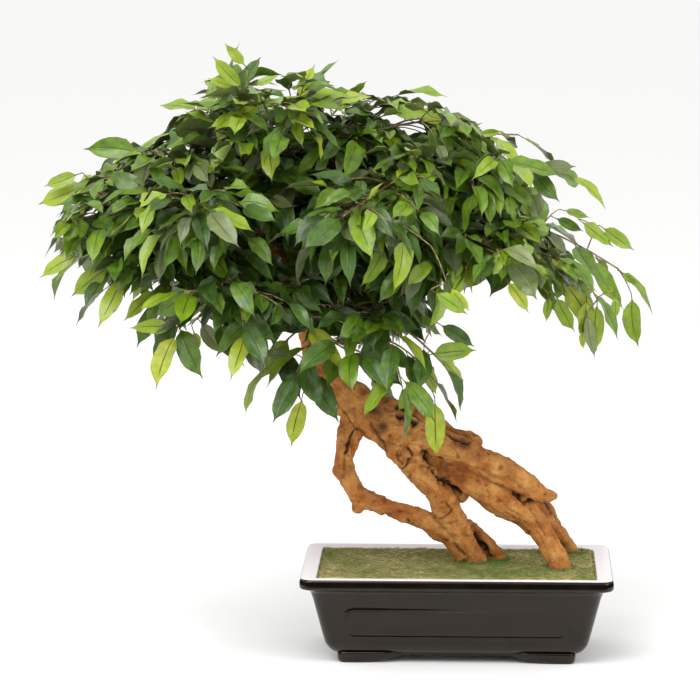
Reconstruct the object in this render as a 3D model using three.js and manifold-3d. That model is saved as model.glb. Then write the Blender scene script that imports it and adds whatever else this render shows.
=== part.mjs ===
// Bonsai tree in a pot: a leafy crown of leaf sprays on a trunk of weathered root wood,
// standing in a glazed oblong pot under a cut mat of moss.
// Millimetres, +Z up. The pot's long side runs along X and its front faces -Y.

import * as THREE from 'three';
import { mergeVertices } from 'three/addons/utils/BufferGeometryUtils.js';
import Module from 'manifold-3d';

const wasm = await Module();
wasm.setup();

// ---- Driving dimensions -------------------------------------------------

const pot = {
  width: 360,
  depth: 212,
  bodyUnderside: 9.6,
  footWidth: 275,
  footDepth: 144,
  footTaper: 2,
  footCorner: 8,
  footOverlap: 4,
  frontArch: 118,
  sideArch: 26,
  archSlope: 50,
  archTop: 5,
  panelWidth: 260,
  panelHeight: 32,
  panelCorner: 14,
  panelZ: 48.5,
  panelRecess: 2,
};

// The cut moss mat, just below the rim's top.
const mat = { width: 318, depth: 172, corner: 5, edgeSlope: 0.6, topZ: 103.4, thickness: 3.6 };

const fitGap = 0.4;
const holeGap = 0.6;
const cornerSteps = 3;
const shortestEdge = 0.12;

// A leaf's sizes, and the shares of its blade where the two stations of its outline stand.
const leaf = {
  stalk: 9,
  stalkRadius: 0.7,
  blade: 52,
  halfWidth: 12,
  lowStation: 0.28,
  highStation: 0.64,
  highWidthShare: 0.82,
  ribLow: 0.8,
  ribHigh: 0.6,
};

// How leaves stand: shares of a turn in radians, and of a unit direction.
const leafHabit = {
  turn: 0.85,
  turnSpread: 0.35,
  leastHang: 0.18,
  moreHang: 0.5,
  faceUp: 0.75,
  faceOut: 0.45,
  faceFront: 0.3,
  faceSpread: 0.55,
  faceSpreadUp: 0.3,
  leastSize: 0.86,
  moreSize: 0.28,
  leastDroop: 2,
  moreDroop: 13,
  leastFold: 0.12,
  moreFold: 0.3,
  wave: 1.6,
};

// How side twigs leave their stem; lengths in millimetres.
const twigHabit = {
  turn: 0.75,
  moreTurn: 0.5,
  tilt: 0.4,
  length: 58,
  moreLength: 26,
  rootScale: 1.05,
  tipLoss: 0.35,
  arch: 0.12,
  sag: 0.14,
};

// Stems and side twigs: radii, straight pieces per length, and where sprouts spring from.
const stemRadius = { root: 2.1, tip: 1.1 };
const stemPieces = 5;
const twigRadius = { root: 1.3, tip: 0.9 };
const twigPieces = 1;
const sproutGap = 2.6;
const twigSpacing = 44;
const triesPerPiece = 9;
const clearance = 0.5;

// ---- Vectors and seeded draws -------------------------------------------

const up = new THREE.Vector3(0, 0, 1);
const vec = (x, y, z) => new THREE.Vector3(x, y, z);

// A repeatable draw from 0 to 1, made from a list of whole numbers.
function draw(...keys) {
  let hash = 2166136261;
  for (const key of keys) {
    hash = Math.imul(hash ^ (key + 101), 16777619);
    hash ^= hash >>> 15;
    hash = Math.imul(hash, 2246822507);
    hash ^= hash >>> 13;
  }
  return (hash >>> 0) / 4294967296;
}

const spread = (range, ...keys) => (2 * draw(...keys) - 1) * range;

// ---- Closed bodies ------------------------------------------------------

// A geometry from rings of equal point counts, each joined to the next, with flat ends.
function loft(rings) {
  const count = rings[0].length;
  const positions = rings.flat().flatMap((point) => [point.x, point.y, point.z]);
  const faces = [];
  for (let ring = 0; ring + 1 < rings.length; ring += 1) {
    for (let side = 0; side < count; side += 1) {
      const a = ring * count + side;
      const b = ring * count + ((side + 1) % count);
      faces.push(a, b, b + count, a, b + count, a + count);
    }
  }
  const last = (rings.length - 1) * count;
  for (let side = 1; side + 1 < count; side += 1) {
    faces.push(0, side + 1, side);
    faces.push(last, last + side, last + side + 1);
  }
  return indexed(positions, faces);
}

function indexed(positions, faces) {
  const geometry = new THREE.BufferGeometry();
  geometry.setAttribute('position', new THREE.Float32BufferAttribute(positions, 3));
  geometry.setIndex(faces);
  return geometry;
}

function solid(geometry) {
  const bare = geometry.clone();
  bare.deleteAttribute('normal');
  bare.deleteAttribute('uv');
  const merged = mergeVertices(bare, 1e-4);
  return new wasm.Manifold(new wasm.Mesh({
    numProp: 3,
    vertProperties: new Float32Array(merged.attributes.position.array),
    triVerts: new Uint32Array(merged.index.array),
  }));
}

// A skin that a stem, its twigs and its leaves are added to, so that they are one closed body.
// Every ring on it has four points, counter-clockwise as seen from the end it grows towards.
const emptySkin = () => ({ points: [], faces: [] });

function addRing(skin, points) {
  return points.map((point) => skin.points.push(point) - 1);
}

// Four sides between two rings. One side may stay open, for a ring that grows out of it there.
function bridge(skin, near, far, open = -1) {
  for (let side = 0; side < 4; side += 1) {
    const next = (side + 1) % 4;
    if (side === open) continue;
    if (side % 2) skin.faces.push(near[side], near[next], far[side], near[next], far[next], far[side]);
    else skin.faces.push(near[side], near[next], far[next], near[side], far[next], far[side]);
  }
}

function closeEnd(skin, [a, b, c, d]) {
  skin.faces.push(a, b, c, a, c, d);
}

function closePoint(skin, ring, point) {
  const tip = skin.points.push(point) - 1;
  ring.forEach((corner, side) => skin.faces.push(corner, ring[(side + 1) % 4], tip));
}

// The same ring, counted from the corner that makes its straight way to the new points shortest.
function facing(skin, ring, points) {
  const turned = (turn) => ring.map((_, corner) => ring[(corner + turn) % 4]);
  const way = (turn) => turned(turn)
    .reduce((sum, corner, n) => sum + skin.points[corner].distanceToSquared(points[n]), 0);
  return turned([0, 1, 2, 3].reduce((best, turn) => (way(turn) < way(best) ? turn : best)));
}

function skinSolid(skin) {
  return solid(indexed(skin.points.flatMap((p) => [p.x, p.y, p.z]), skin.faces));
}

const join = (parts) => parts.reduce((whole, part) => whole.add(part));

// The largest connected body of a solid, without the slivers and crumbs that a cut leaves.
function largest(body) {
  const pieces = body.asOriginal().simplify(shortestEdge).decompose();
  return pieces.reduce((best, piece) => (piece.volume() > best.volume() ? piece : best));
}

function toMesh(name, body, look) {
  const data = body.getMesh();
  const positions = [];
  for (let vertex = 0; vertex < data.numVert; vertex += 1) {
    const start = vertex * data.numProp;
    positions.push(...data.vertProperties.slice(start, start + 3));
  }
  const geometry = indexed(positions, Array.from(data.triVerts));
  const material = new THREE.MeshStandardMaterial(look);
  const mesh = new THREE.Mesh(geometry, material);
  mesh.name = name;
  return mesh;
}

// ---- Pot ----------------------------------------------------------------

// A level rounded rectangle of the given half sizes, counter-clockwise from above.
function oblong(halfX, halfY, radius, z) {
  const points = [];
  const centres = [[1, 1], [-1, 1], [-1, -1], [1, -1]];
  centres.forEach(([signX, signY], quarter) => {
    for (let step = 0; step <= cornerSteps; step += 1) {
      const angle = (quarter + step / cornerSteps) * (Math.PI / 2);
      const x = signX * (halfX - radius) + radius * Math.cos(angle);
      const y = signY * (halfY - radius) + radius * Math.sin(angle);
      points.push(vec(x, y, z));
    }
  });
  return points;
}

// Each row of a pot profile is [inset from the rim's outer edge, height, plan corner radius].
const potOutside = [
  [42.8, 9.6, 9],
  [36, 13, 10],
  [30.2, 20, 12],
  [26.4, 30, 14],
  [17, 68, 15],
  [13.6, 84, 15],
  [12, 88.4, 14],
  [4, 90.6, 13],
  [0.8, 92.6, 13],
  [0, 97, 13],
  [0.6, 101.8, 13],
  [2.8, 104.6, 12],
];

const potInside = [
  [9, 104.6, 10],
  [16.6, 102.6, 7],
  [19.8, 100.4, 5],
  [20.6, 84, 5],
  [30, 46, 8],
  [38.6, 28, 10],
  [47.6, 22, 9],
];

function potRing([inset, z, radius]) {
  return oblong(pot.width / 2 - inset, pot.depth / 2 - inset, radius, z);
}

// An arch under the pot, level at its top and sloping down to the feet, cut along Y.
function archCutter(length, wide) {
  const below = -1;
  const outline = new THREE.Shape();
  outline.moveTo(-wide / 2 - pot.archSlope, below);
  outline.lineTo(wide / 2 + pot.archSlope, below);
  outline.lineTo(wide / 2, pot.archTop);
  outline.lineTo(-wide / 2, pot.archTop);
  outline.closePath();
  const cutter = new THREE.ExtrudeGeometry(outline, { depth: length, bevelEnabled: false });
  return cutter.translate(0, 0, -length / 2).rotateX(Math.PI / 2);
}

// The four feet are what two crossing arches leave of a shallow plinth.
function potFeet() {
  const halfX = pot.footWidth / 2;
  const halfY = pot.footDepth / 2;
  const taper = pot.footTaper;
  const plinth = solid(loft([
    oblong(halfX - taper, halfY - taper, pot.footCorner, 0),
    oblong(halfX, halfY, pot.footCorner, pot.bodyUnderside + pot.footOverlap),
  ]));
  const across = solid(archCutter(pot.depth, pot.frontArch));
  const along = solid(archCutter(pot.width, pot.sideArch).rotateZ(Math.PI / 2));
  return plinth.subtract(across).subtract(along);
}

// The cutter for the sunk panel with rounded ends on a long side, laid along that side's slope.
function panelCutter(side) {
  const end = pot.panelCorner;
  const halfLength = pot.panelWidth / 2 - end;
  const halfHeight = pot.panelHeight / 2 - end;
  const outline = new THREE.Shape();
  outline.absarc(halfLength, halfHeight, end, 0, Math.PI / 2);
  outline.absarc(-halfLength, halfHeight, end, Math.PI / 2, Math.PI);
  outline.absarc(-halfLength, -halfHeight, end, Math.PI, Math.PI * 1.5);
  outline.absarc(halfLength, -halfHeight, end, Math.PI * 1.5, Math.PI * 2);
  const depth = pot.panelRecess + 10;
  const cutter = new THREE.ExtrudeGeometry(outline, {
    depth, bevelEnabled: false, curveSegments: 4,
  });
  const [lowInset, lowZ] = potOutside[3];
  const [highInset, highZ] = potOutside[4];
  const lean = Math.atan2(lowInset - highInset, highZ - lowZ);
  const share = (pot.panelZ - lowZ) / (highZ - lowZ);
  const wallY = pot.depth / 2 - lowInset - share * (highInset - lowInset);
  cutter.rotateX(Math.PI / 2 + lean);
  cutter.translate(0, -(wallY - pot.panelRecess), pot.panelZ);
  return side > 0 ? cutter.rotateZ(Math.PI) : cutter;
}

// The fired pot: its shell with the feet under it and a sunk panel on both long sides.
function potBody() {
  const shell = solid(loft([...potOutside, ...potInside].map(potRing)));
  const whole = shell.add(potFeet());
  return whole.subtract(solid(panelCutter(-1))).subtract(solid(panelCutter(1)));
}

// ---- Trunk --------------------------------------------------------------

// Each strand of the trunk is a list of [x, y, z, radius] along its middle.
// The trunk leans left out of a fan of roots that grip the right half of the pot.
const strands = {
  leader: [
    [-241, 10, 497, 6.4], [-217, 5, 467, 8.5], [-190, 0, 435, 10.4], [-176, -5, 404, 11],
    [-171, -8, 371, 11], [-162, -8, 343, 13.4], [-143, -5, 317, 18.8], [-121, 0, 293, 23],
    [-98, 0, 273, 23], [-80, 0, 256, 18.4],
  ],
  cutStub: [[-188, 2, 436, 8], [-206, -5, 431, 8.6], [-222, -9, 426, 7.6]],
  upperStrand: [
    [-108, 0, 284, 18], [-73, -6, 261, 19.4], [-38, -8, 249, 16], [-4, -6, 238, 16],
    [29, -4, 224, 16], [58, -2, 210, 16.2], [81, 0, 194.5, 14], [99, 2, 186, 8.4],
    [114, 4, 183, 2.4],
  ],
  lowerStrand: [
    [-31, 2, 231, 7], [-8, 2, 213, 13.4], [20, 2, 198, 16.5], [48, 2, 180, 18],
    [74, 0, 167, 16.4], [92, -8, 152, 14.4], [105, -16, 134, 12], [115.6, -23, 115, 11],
    [121.5, -28, 98, 10], [124, -29, 80, 8],
  ],
  backRoot: [
    [88, 10, 174, 10.5], [101, 22, 160, 10.6], [112, 40, 140, 9.4], [123, 56, 122, 8.6],
    [133, 68, 105, 8.2], [138, 71, 92, 8], [138, 71, 82, 6.5],
  ],
  middleStrand: [
    [-92, 0, 270, 18.4], [-74, -4, 250, 17], [-60, -8, 233, 16], [-42, -9, 211, 15],
    [-27, -8, 196, 13.4], [-17, -5, 181, 13.8], [-11, -3, 167, 14.2], [-4, 0, 152, 14],
    [6, 4, 134, 13.6], [15, 9, 116, 13], [22, 12, 98, 12], [25, 13, 78, 9],
  ],
  shortRoot: [
    [9, 10, 143, 6], [17, 14, 139, 7.6], [27, 17, 131, 7.4], [37, 21, 120, 8.8],
    [46, 24, 106, 9.4], [52, 26, 94, 8.2], [52, 26, 80, 6.4],
  ],
  loopRoot: [
    [-121, -8, 286, 14], [-126, -11, 266, 11.6], [-130, -15, 249, 9.6], [-132, -18, 233, 9.6],
    [-132, -18, 219, 10.8], [-127, -18, 206, 10.4], [-120, -17, 195, 10], [-111, -16, 184, 11],
    [-93, -13, 176, 9.8], [-76, -10, 169, 8.8], [-55, -6, 161, 8.8], [-37, -3, 153, 9.8],
    [-23, 0, 144, 10.4], [-7, 3, 133, 11], [9, 8, 112, 11],
  ],
  loopFork: [[-108, -4, 274, 8], [-114, -10, 258, 5.2], [-121, -14, 242, 4.6], [-127, -17, 228, 5]],
  loopStub: [[-79, -9, 165, 6.4], [-65, -18, 162, 5.8], [-55, -25, 160, 5]],
  backKnob: [
    [-102, 14, 284, 13], [-69, 22, 278, 12], [-42, 24, 269, 11.6], [-15, 24, 251, 11],
    [4, 20, 245.5, 11], [16, 17, 244.5, 10.4], [24, 16, 241, 7.6],
  ],
  fin: [[-45, 4, 236, 6], [-31, 11, 220, 5.4], [-17, 12, 201, 6], [-3, 10, 189, 7.6], [8, 6, 184, 8]],
};

const strandSides = { leader: 12, upperStrand: 11, lowerStrand: 11, middleStrand: 11 };
const plainSides = 8;
const rootStrands = ['lowerStrand', 'backRoot', 'middleStrand', 'shortRoot', 'loopRoot'];

// Wood fibres stand out as three blunt ridges that wind slowly round each strand.
const ridge = { count: 3, height: 0.11, turnPerPoint: 0.32 };

// Directions across a path at each of its points, carried along it without twisting.
function crossFrames(points) {
  const tangents = points.map((point, index) => {
    const before = points[Math.max(index - 1, 0)];
    const after = points[Math.min(index + 1, points.length - 1)];
    return after.clone().sub(before).normalize();
  });
  const hint = Math.abs(tangents[0].z) < 0.8 ? up : vec(0, 1, 0);
  let across = hint.clone().cross(tangents[0]).normalize();
  return tangents.map((tangent) => {
    across = across.clone().addScaledVector(tangent, -across.dot(tangent)).normalize();
    return { across, over: tangent.clone().cross(across) };
  });
}

// A closed tube through points with a radius at each, its ends flat.
function taperedTube(points, radii, sides, swell = () => 1, grow = 0) {
  const frames = crossFrames(points);
  return loft(points.map((point, index) => {
    const { across, over } = frames[index];
    return Array.from({ length: sides }, (_, side) => {
      const angle = (side / sides) * Math.PI * 2;
      const radius = radii[index] * swell(angle, index) + grow;
      return point.clone()
        .addScaledVector(across, radius * Math.cos(angle))
        .addScaledVector(over, radius * Math.sin(angle));
    });
  }));
}

// One strand as a closed tube, grown a little where it is used to cut room for a root.
function strandTube(name, grow = 0) {
  const rows = strands[name];
  const points = rows.map(([x, y, z]) => vec(x, y, z));
  points[points.length - 1].z -= grow;
  const radii = rows.map((row) => row[3]);
  const sides = strandSides[name] ?? plainSides;
  const swell = (angle, index) => 1 + ridge.height
    * Math.cos(ridge.count * (angle + index * ridge.turnPerPoint));
  return solid(taperedTube(points, radii, sides, swell, grow));
}

// ---- Leafy boughs -------------------------------------------------------

// Each bough leaves the leader at a height share (0 low, 1 top) and ends in one tip per stem;
// a second stem forks off the first. A tip is [x, y, z], and arch lifts its stem's middle.
const boughs = [
  { height: 1.0, tips: [[-262, 22, 650], [-302, 62, 626]], arch: 0.02 },
  { height: 0.95, tips: [[-184, -12, 644], [-222, -84, 652]], arch: 0.04 },
  { height: 0.89, tips: [[-140, 105, 628], [-195, 205, 520]], arch: 0.1 },
  { height: 0.83, tips: [[-80, 40, 644], [0, -30, 624]], arch: 0.14 },
  { height: 0.78, tips: [[-360, -40, 586], [-355, 130, 560]], arch: 0.12 },
  { height: 0.72, tips: [[68, 50, 600], [-40, 190, 540]], arch: 0.2 },
  { height: 0.67, tips: [[-426, 16, 544], [-320, 190, 486]], arch: 0.18 },
  { height: 0.61, tips: [[124, -50, 564], [-125, -205, 534]], arch: 0.22 },
  { height: 0.56, tips: [[-434, -62, 512], [-275, -195, 540]], arch: 0.2 },
  { height: 0.5, tips: [[184, 20, 448], [76, 125, 478]], arch: 0.3 },
  { height: 0.44, tips: [[-446, 42, 456], [-345, 62, 400]], arch: 0.24 },
  { height: 0.38, tips: [[152, -80, 436], [55, -150, 480]], arch: 0.28 },
  { height: 0.32, tips: [[-394, -82, 440], [-318, -108, 390]], arch: 0.22 },
  { height: 0.26, tips: [[-60, 112, 405], [-228, 130, 398]], arch: 0.22 },
  { height: 0.2, tips: [[-234, -152, 398], [-304, -165, 444]], arch: 0.28 },
  { height: 0.13, tips: [[-16, -112, 356], [-62, -150, 340]], arch: 0.24 },
  { height: 0.04, tips: [[-165, -108, 340], [-108, -135, 372]], arch: 0.28 },
];

const crown = {
  low: vec(-172, -7, 380),
  bend: vec(-188, 0, 436),
  top: vec(-238, 9, 492),
};

const rootOffset = 2.4;
const leastArch = 0.1;
const forkShare = 0.42;
const forkLean = 0.2;
const forkArch = 0.08;
const firstTwig = 0.3;
const lastTwig = 0.86;
const stemLeafShares = [0.88, 0.94];
const drawKeys = { stemLeaves: 50, endLeaf: 60 };
const twigLeafShares = [0.42, 0.72];

// A point on a curve from start to end that is pulled towards one control point.
function bezier(start, control, end, t) {
  return start.clone().multiplyScalar((1 - t) * (1 - t))
    .addScaledVector(control, 2 * t * (1 - t))
    .addScaledVector(end, t * t);
}

// A stem's middle line as a chain of straight pieces along such a curve.
function stemLine(start, control, end, pieces) {
  const points = Array.from({ length: pieces + 1 }, (_, n) => bezier(start, control, end, n / pieces));
  const piece = (t) => Math.min(Math.floor(t * pieces), pieces - 1);
  return {
    points,
    length: (start.distanceTo(control) + control.distanceTo(end) + start.distanceTo(end)) / 2,
    at: (t) => points[piece(t)].clone().lerp(points[piece(t) + 1], t * pieces - piece(t)),
    toward: (t) => points[piece(t) + 1].clone().sub(points[piece(t)]).normalize(),
  };
}

function boughLines({ height, tips, arch }) {
  const tip = vec(...tips[0]);
  const middle = bezier(crown.low, crown.bend, crown.top, height);
  const root = middle.clone().addScaledVector(tip.clone().sub(middle).normalize(), rootOffset);
  const reach = tip.distanceTo(root);
  const control = root.clone().lerp(tip, 0.42).addScaledVector(up, reach * (leastArch + arch));
  const main = stemLine(root, control, tip, stemPieces);
  if (tips.length === 1) return [main];
  const fork = main.at(forkShare);
  const side = vec(...tips[1]);
  const sideReach = side.distanceTo(fork);
  const sideControl = fork.clone().lerp(side, 0.25)
    .addScaledVector(main.toward(forkShare), sideReach * forkLean)
    .addScaledVector(up, sideReach * forkArch);
  return [main, stemLine(fork, sideControl, side, stemPieces)];
}

// The four corners of a stem at one place along it.
function squareRing(centre, { across, over }, radius) {
  return [[1, 1], [-1, 1], [-1, -1], [1, -1]].map(([x, y]) => centre.clone()
    .addScaledVector(across, x * radius * Math.SQRT1_2)
    .addScaledVector(over, y * radius * Math.SQRT1_2));
}

// A bare stem, with no sprouts.
function lineTube({ points }, radii, grow = 0) {
  const frames = crossFrames(points);
  const share = (index) => index / (points.length - 1);
  const radius = (index) => THREE.MathUtils.lerp(radii.root, radii.tip, share(index)) + grow;
  return solid(loft(points.map((point, index) => squareRing(point, frames[index], radius(index)))));
}

// Level direction from the crown's middle out to a place.
function outwardAt(place) {
  const out = vec(place.x - crown.bend.x, place.y - crown.bend.y, 0);
  return out.length() > 1 ? out.normalize() : vec(0, -1, 0);
}

// A leaf's own frame: where it springs from, the way it points and the way its face looks.
function leafPose(place, along, turn, keys) {
  const sideways = along.clone().cross(up).normalize();
  const angle = turn + spread(leafHabit.turnSpread, ...keys, 1);
  const point = along.clone().multiplyScalar(Math.cos(angle))
    .addScaledVector(sideways, Math.sin(angle));
  point.z -= leafHabit.leastHang + leafHabit.moreHang * draw(...keys, 2);
  point.normalize();
  const stray = vec(
    spread(leafHabit.faceSpread, ...keys, 3),
    spread(leafHabit.faceSpread, ...keys, 4) - leafHabit.faceFront,
    spread(leafHabit.faceSpreadUp, ...keys, 5) + leafHabit.faceUp,
  );
  const face = stray.addScaledVector(outwardAt(place), leafHabit.faceOut);
  face.addScaledVector(point, -face.dot(point)).normalize();
  return {
    place,
    point,
    face,
    size: leafHabit.leastSize + leafHabit.moreSize * draw(...keys, 6),
    droop: leafHabit.leastDroop + leafHabit.moreDroop * draw(...keys, 7),
    fold: leafHabit.leastFold + leafHabit.moreFold * draw(...keys, 8),
    wave: spread(leafHabit.wave, ...keys, 9),
  };
}

// A leaf's stations, each with its left edge, the rib's top, the right edge and the rib's
// underside. The blade is thickest along the rib, folded there, and droops to its tip.
function leafShape({ place, point, face, size, droop, fold, wave }, grow = 0) {
  const left = face.clone().cross(point);
  const blade = leaf.blade * size;
  const at = (along, across, above) => place.clone()
    .addScaledVector(point, along)
    .addScaledVector(left, across)
    .addScaledVector(face, above);
  const station = (share, halfWidth, rib, lift) => {
    const along = leaf.stalk + blade * share;
    const wide = halfWidth + grow;
    const sag = -droop * share * share;
    const edge = sag + wide * Math.sin(fold);
    return [
      at(along, wide * Math.cos(fold), edge + lift),
      at(along, 0, sag + rib + grow),
      at(along, -wide * Math.cos(fold), edge - lift),
      at(along, 0, sag - rib - grow),
    ];
  };
  const wide = leaf.halfWidth * size;
  return {
    root: [[1, 0], [0, 1], [-1, 0], [0, -1]]
      .map(([across, above]) => at(0, across * leaf.stalkRadius, above * leaf.stalkRadius)),
    low: station(leaf.lowStation, wide, leaf.ribLow, wave),
    high: station(leaf.highStation, wide * leaf.highWidthShare, leaf.ribHigh, -wave),
    tip: at(leaf.stalk + blade + grow, 0, -droop),
  };
}

// Grows a leaf out of a ring that is already on the skin.
function skinLeaf(skin, root, pose, grow = 0) {
  const shape = leafShape(pose, grow);
  const low = addRing(skin, shape.low);
  const high = addRing(skin, shape.high);
  bridge(skin, facing(skin, root, shape.low), low);
  bridge(skin, low, high);
  closePoint(skin, high, shape.tip);
}

function looseLeaf(pose, grow = 0) {
  const skin = emptySkin();
  const root = addRing(skin, leafShape(pose, grow).root);
  closeEnd(skin, [...root].reverse());
  skinLeaf(skin, root, pose, grow);
  return skinSolid(skin);
}

// A side twig: from the stem out to one side, then slightly down at its end.
function twigLine(stem, t, turn, keys) {
  const start = stem.at(t);
  const along = stem.toward(t);
  const sideways = along.clone().cross(up).normalize();
  const angle = turn * (twigHabit.turn + twigHabit.moreTurn * draw(...keys, 1));
  const fullLength = twigHabit.length + twigHabit.moreLength * draw(...keys, 2);
  const length = fullLength * (twigHabit.rootScale - twigHabit.tipLoss * t);
  const heading = along.clone().multiplyScalar(Math.cos(angle))
    .addScaledVector(sideways, Math.sin(angle))
    .addScaledVector(up, spread(twigHabit.tilt, ...keys, 3));
  heading.normalize();
  const end = start.clone().addScaledVector(heading, length);
  const control = start.clone().lerp(end, 0.5).addScaledVector(up, length * twigHabit.arch);
  end.z -= length * twigHabit.sag;
  return stemLine(start, control, end, twigPieces);
}

// ---- Placing what grows, clear of everything placed before --------------

const placed = [];

function boxesMeet(a, b) {
  return [0, 1, 2].every((axis) => a.min[axis] < b.max[axis] && b.min[axis] < a.max[axis]);
}

function isClear(test, ignored) {
  const box = test.boundingBox();
  return placed.every((other) => {
    if (ignored.includes(other.owner) || !boxesMeet(box, other.box)) return true;
    const common = test.intersect(other.body);
    const empty = common.isEmpty();
    common.delete();
    return empty;
  });
}

function keep(body, owner) {
  placed.push({ body, owner, box: body.boundingBox() });
  return body;
}

// The first pose of a few seeded ones that keeps a leaf clear of all else, or none.
function tryLeaf(place, along, turn, ignored, keys) {
  for (let attempt = 0; attempt < triesPerPiece; attempt += 1) {
    const pose = leafPose(place, along, turn, [...keys, attempt]);
    if (isClear(looseLeaf(pose, clearance), ignored)) {
      keep(looseLeaf(pose), keys.join('-'));
      return pose;
    }
  }
  return null;
}

// Leaves along one line, alternately from each side, as sprouts with a place and a pose.
function growLeaves(line, shares, owner, keys) {
  return shares.flatMap((t, number) => {
    const turn = (number % 2 ? -1 : 1) * leafHabit.turn;
    const pose = tryLeaf(line.at(t), line.toward(t), turn, [owner], [...keys, number]);
    return pose ? [{ t, pose }] : [];
  });
}

// A side twig with its own leaves, bent until it is clear of all else, or left out.
function growTwig(stem, owner, t, side, keys) {
  for (let attempt = 0; attempt < triesPerPiece; attempt += 1) {
    const trial = [...keys, attempt];
    const line = twigLine(stem, t, side, trial);
    if (isClear(lineTube(line, twigRadius, clearance), [owner])) {
      const name = trial.join('-');
      keep(lineTube(line, twigRadius), name);
      const sprouts = growLeaves(line, twigLeafShares, name, trial);
      const end = tryLeaf(line.at(1), line.toward(1), 0, [name], [...trial, twigLeafShares.length]);
      return [{ t, plan: { line, radii: twigRadius, sprouts, end } }];
    }
  }
  return [];
}

// A stem's side twigs, alternately left and right, its own last leaves and its fork.
function growStem(line, owner, keys, fork) {
  const reach = lastTwig - firstTwig;
  const twigs = Math.max(1, Math.round((line.length * reach) / twigSpacing));
  const shares = Array.from({ length: twigs }, (_, n) => firstTwig + (reach * n) / twigs);
  const free = (t) => !fork || Math.abs(t - fork.t) * line.length > 2 * sproutGap;
  const sprouts = shares.flatMap((t, number) => {
    const side = number % 2 ? -1 : 1;
    return free(t) ? growTwig(line, owner, t, side, [...keys, number]) : [];
  });
  sprouts.push(...growLeaves(line, stemLeafShares, owner, [...keys, drawKeys.stemLeaves]));
  if (fork) sprouts.push(fork);
  const end = tryLeaf(line.at(1), line.toward(1), 0, [owner], [...keys, drawKeys.endLeaf]);
  return { line, radii: stemRadius, sprouts, end };
}

// Grows a planned stem out of a ring on the skin. Its own rings stand at its bends and on both
// sides of each sprout, and the side that looks most along the sprout stays open for it.
function skinStem(skin, root, { line, radii, sprouts, end }) {
  const half = sproutGap / 2 / line.length;
  const near = (t) => sprouts.some((sprout) => Math.abs(sprout.t - t) < 2 * half);
  const pieces = line.points.length - 1;
  const bends = line.points.map((_, n) => n / pieces).filter((t) => t && !near(t));
  const stops = [
    ...bends.map((t) => ({ t })),
    ...sprouts.flatMap((sprout) => [{ t: sprout.t - half, sprout }, { t: sprout.t + half }]),
  ].sort((a, b) => a.t - b.t);
  const centres = [line.at(0), ...stops.map(({ t }) => line.at(t))];
  const frames = crossFrames(centres);
  let ring = root;
  let opened = null;
  stops.forEach(({ t, sprout }, index) => {
    const radius = THREE.MathUtils.lerp(radii.root, radii.tip, t);
    const points = squareRing(centres[index + 1], frames[index + 1], radius);
    const next = addRing(skin, points);
    const start = index ? ring : facing(skin, ring, points);
    const open = opened ? openSide(frames[index + 1], opened) : -1;
    bridge(skin, start, next, open);
    if (opened) {
      const mouth = [start[open], start[(open + 1) % 4], next[(open + 1) % 4], next[open]];
      if (opened.pose) skinLeaf(skin, mouth, opened.pose);
      else skinStem(skin, mouth, opened.plan);
    }
    opened = sprout ?? null;
    ring = next;
  });
  if (end) skinLeaf(skin, ring, end);
  else closeEnd(skin, ring);
}

// Which side of a square ring looks most along what sprouts there.
function openSide({ across, over }, { pose, plan }) {
  const heading = pose ? pose.point : plan.line.toward(0);
  const looks = [over, across.clone().negate(), over.clone().negate(), across];
  const fits = looks.map((look) => look.dot(heading));
  return fits.indexOf(Math.max(...fits));
}

// ---- Whole plant --------------------------------------------------------

const boughStems = boughs.map(boughLines);

// A stem's root end starts near the leader's middle and stands in a hole of its own there.
function stemHole(line) {
  const radii = { root: stemRadius.root, tip: stemRadius.root };
  const floor = line.at(0).addScaledVector(line.toward(0), -fitGap);
  return lineTube({ points: [floor, line.points[1]] }, radii, holeGap);
}

const wood = join(Object.keys(strands).map((name) => strandTube(name)));
const holes = join(boughStems.map(([main]) => stemHole(main)));
const trunk = keep(largest(wood.subtract(holes)), 'trunk');

boughStems.forEach((lines, index) => {
  lines.forEach((line) => keep(lineTube(line, stemRadius), `bough${index}`));
});

// One leafy bough: its stem, a second stem that may fork off it, their twigs and leaves.
function boughBody([main, side], index) {
  const owner = `bough${index}`;
  const fork = side && { t: forkShare, plan: growStem(side, owner, [index, 1]) };
  const plan = growStem(main, owner, [index, 0], fork);
  const skin = emptySkin();
  const root = addRing(skin, squareRing(main.at(0), crossFrames(main.points)[0], stemRadius.root));
  closeEnd(skin, [...root].reverse());
  skinStem(skin, root, plan);
  return skinSolid(skin);
}

const boughBodies = boughStems.map(boughBody);

const rootSleeves = join(rootStrands.map((name) => strandTube(name, fitGap)));

// The cut mat of moss lies on the fill and is let in round the roots.
function matBody() {
  const low = mat.topZ - mat.thickness;
  const halfX = mat.width / 2;
  const halfY = mat.depth / 2;
  const slab = solid(loft([
    oblong(halfX, halfY, mat.corner, low),
    oblong(halfX - mat.edgeSlope, halfY - mat.edgeSlope, mat.corner, mat.topZ),
  ]));
  return largest(slab.subtract(rootSleeves));
}

// The fill takes up the pot's inside, with a hole for each root that stands in it.
function fillBody() {
  const top = mat.topZ - mat.thickness - fitGap;
  const rows = potInside.filter(([, z]) => z < top).reverse();
  const inset = ([inwards, z, radius]) => [inwards + fitGap, z + fitGap, radius];
  const last = rows[rows.length - 1];
  const rings = [...rows.map(inset), [last[0] + fitGap, top, last[2]]];
  return largest(solid(loft(rings.map(potRing))).subtract(rootSleeves));
}

const looks = {
  glaze: { color: '#26231f', roughness: 0.16, metalness: 0 },
  moss: { color: '#6f7a45', roughness: 0.95, metalness: 0 },
  fill: { color: '#5b4a38', roughness: 0.95, metalness: 0 },
  wood: { color: '#a86a32', roughness: 0.75, metalness: 0 },
  leaves: { color: '#4f8a26', roughness: 0.45, metalness: 0 },
};

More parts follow.
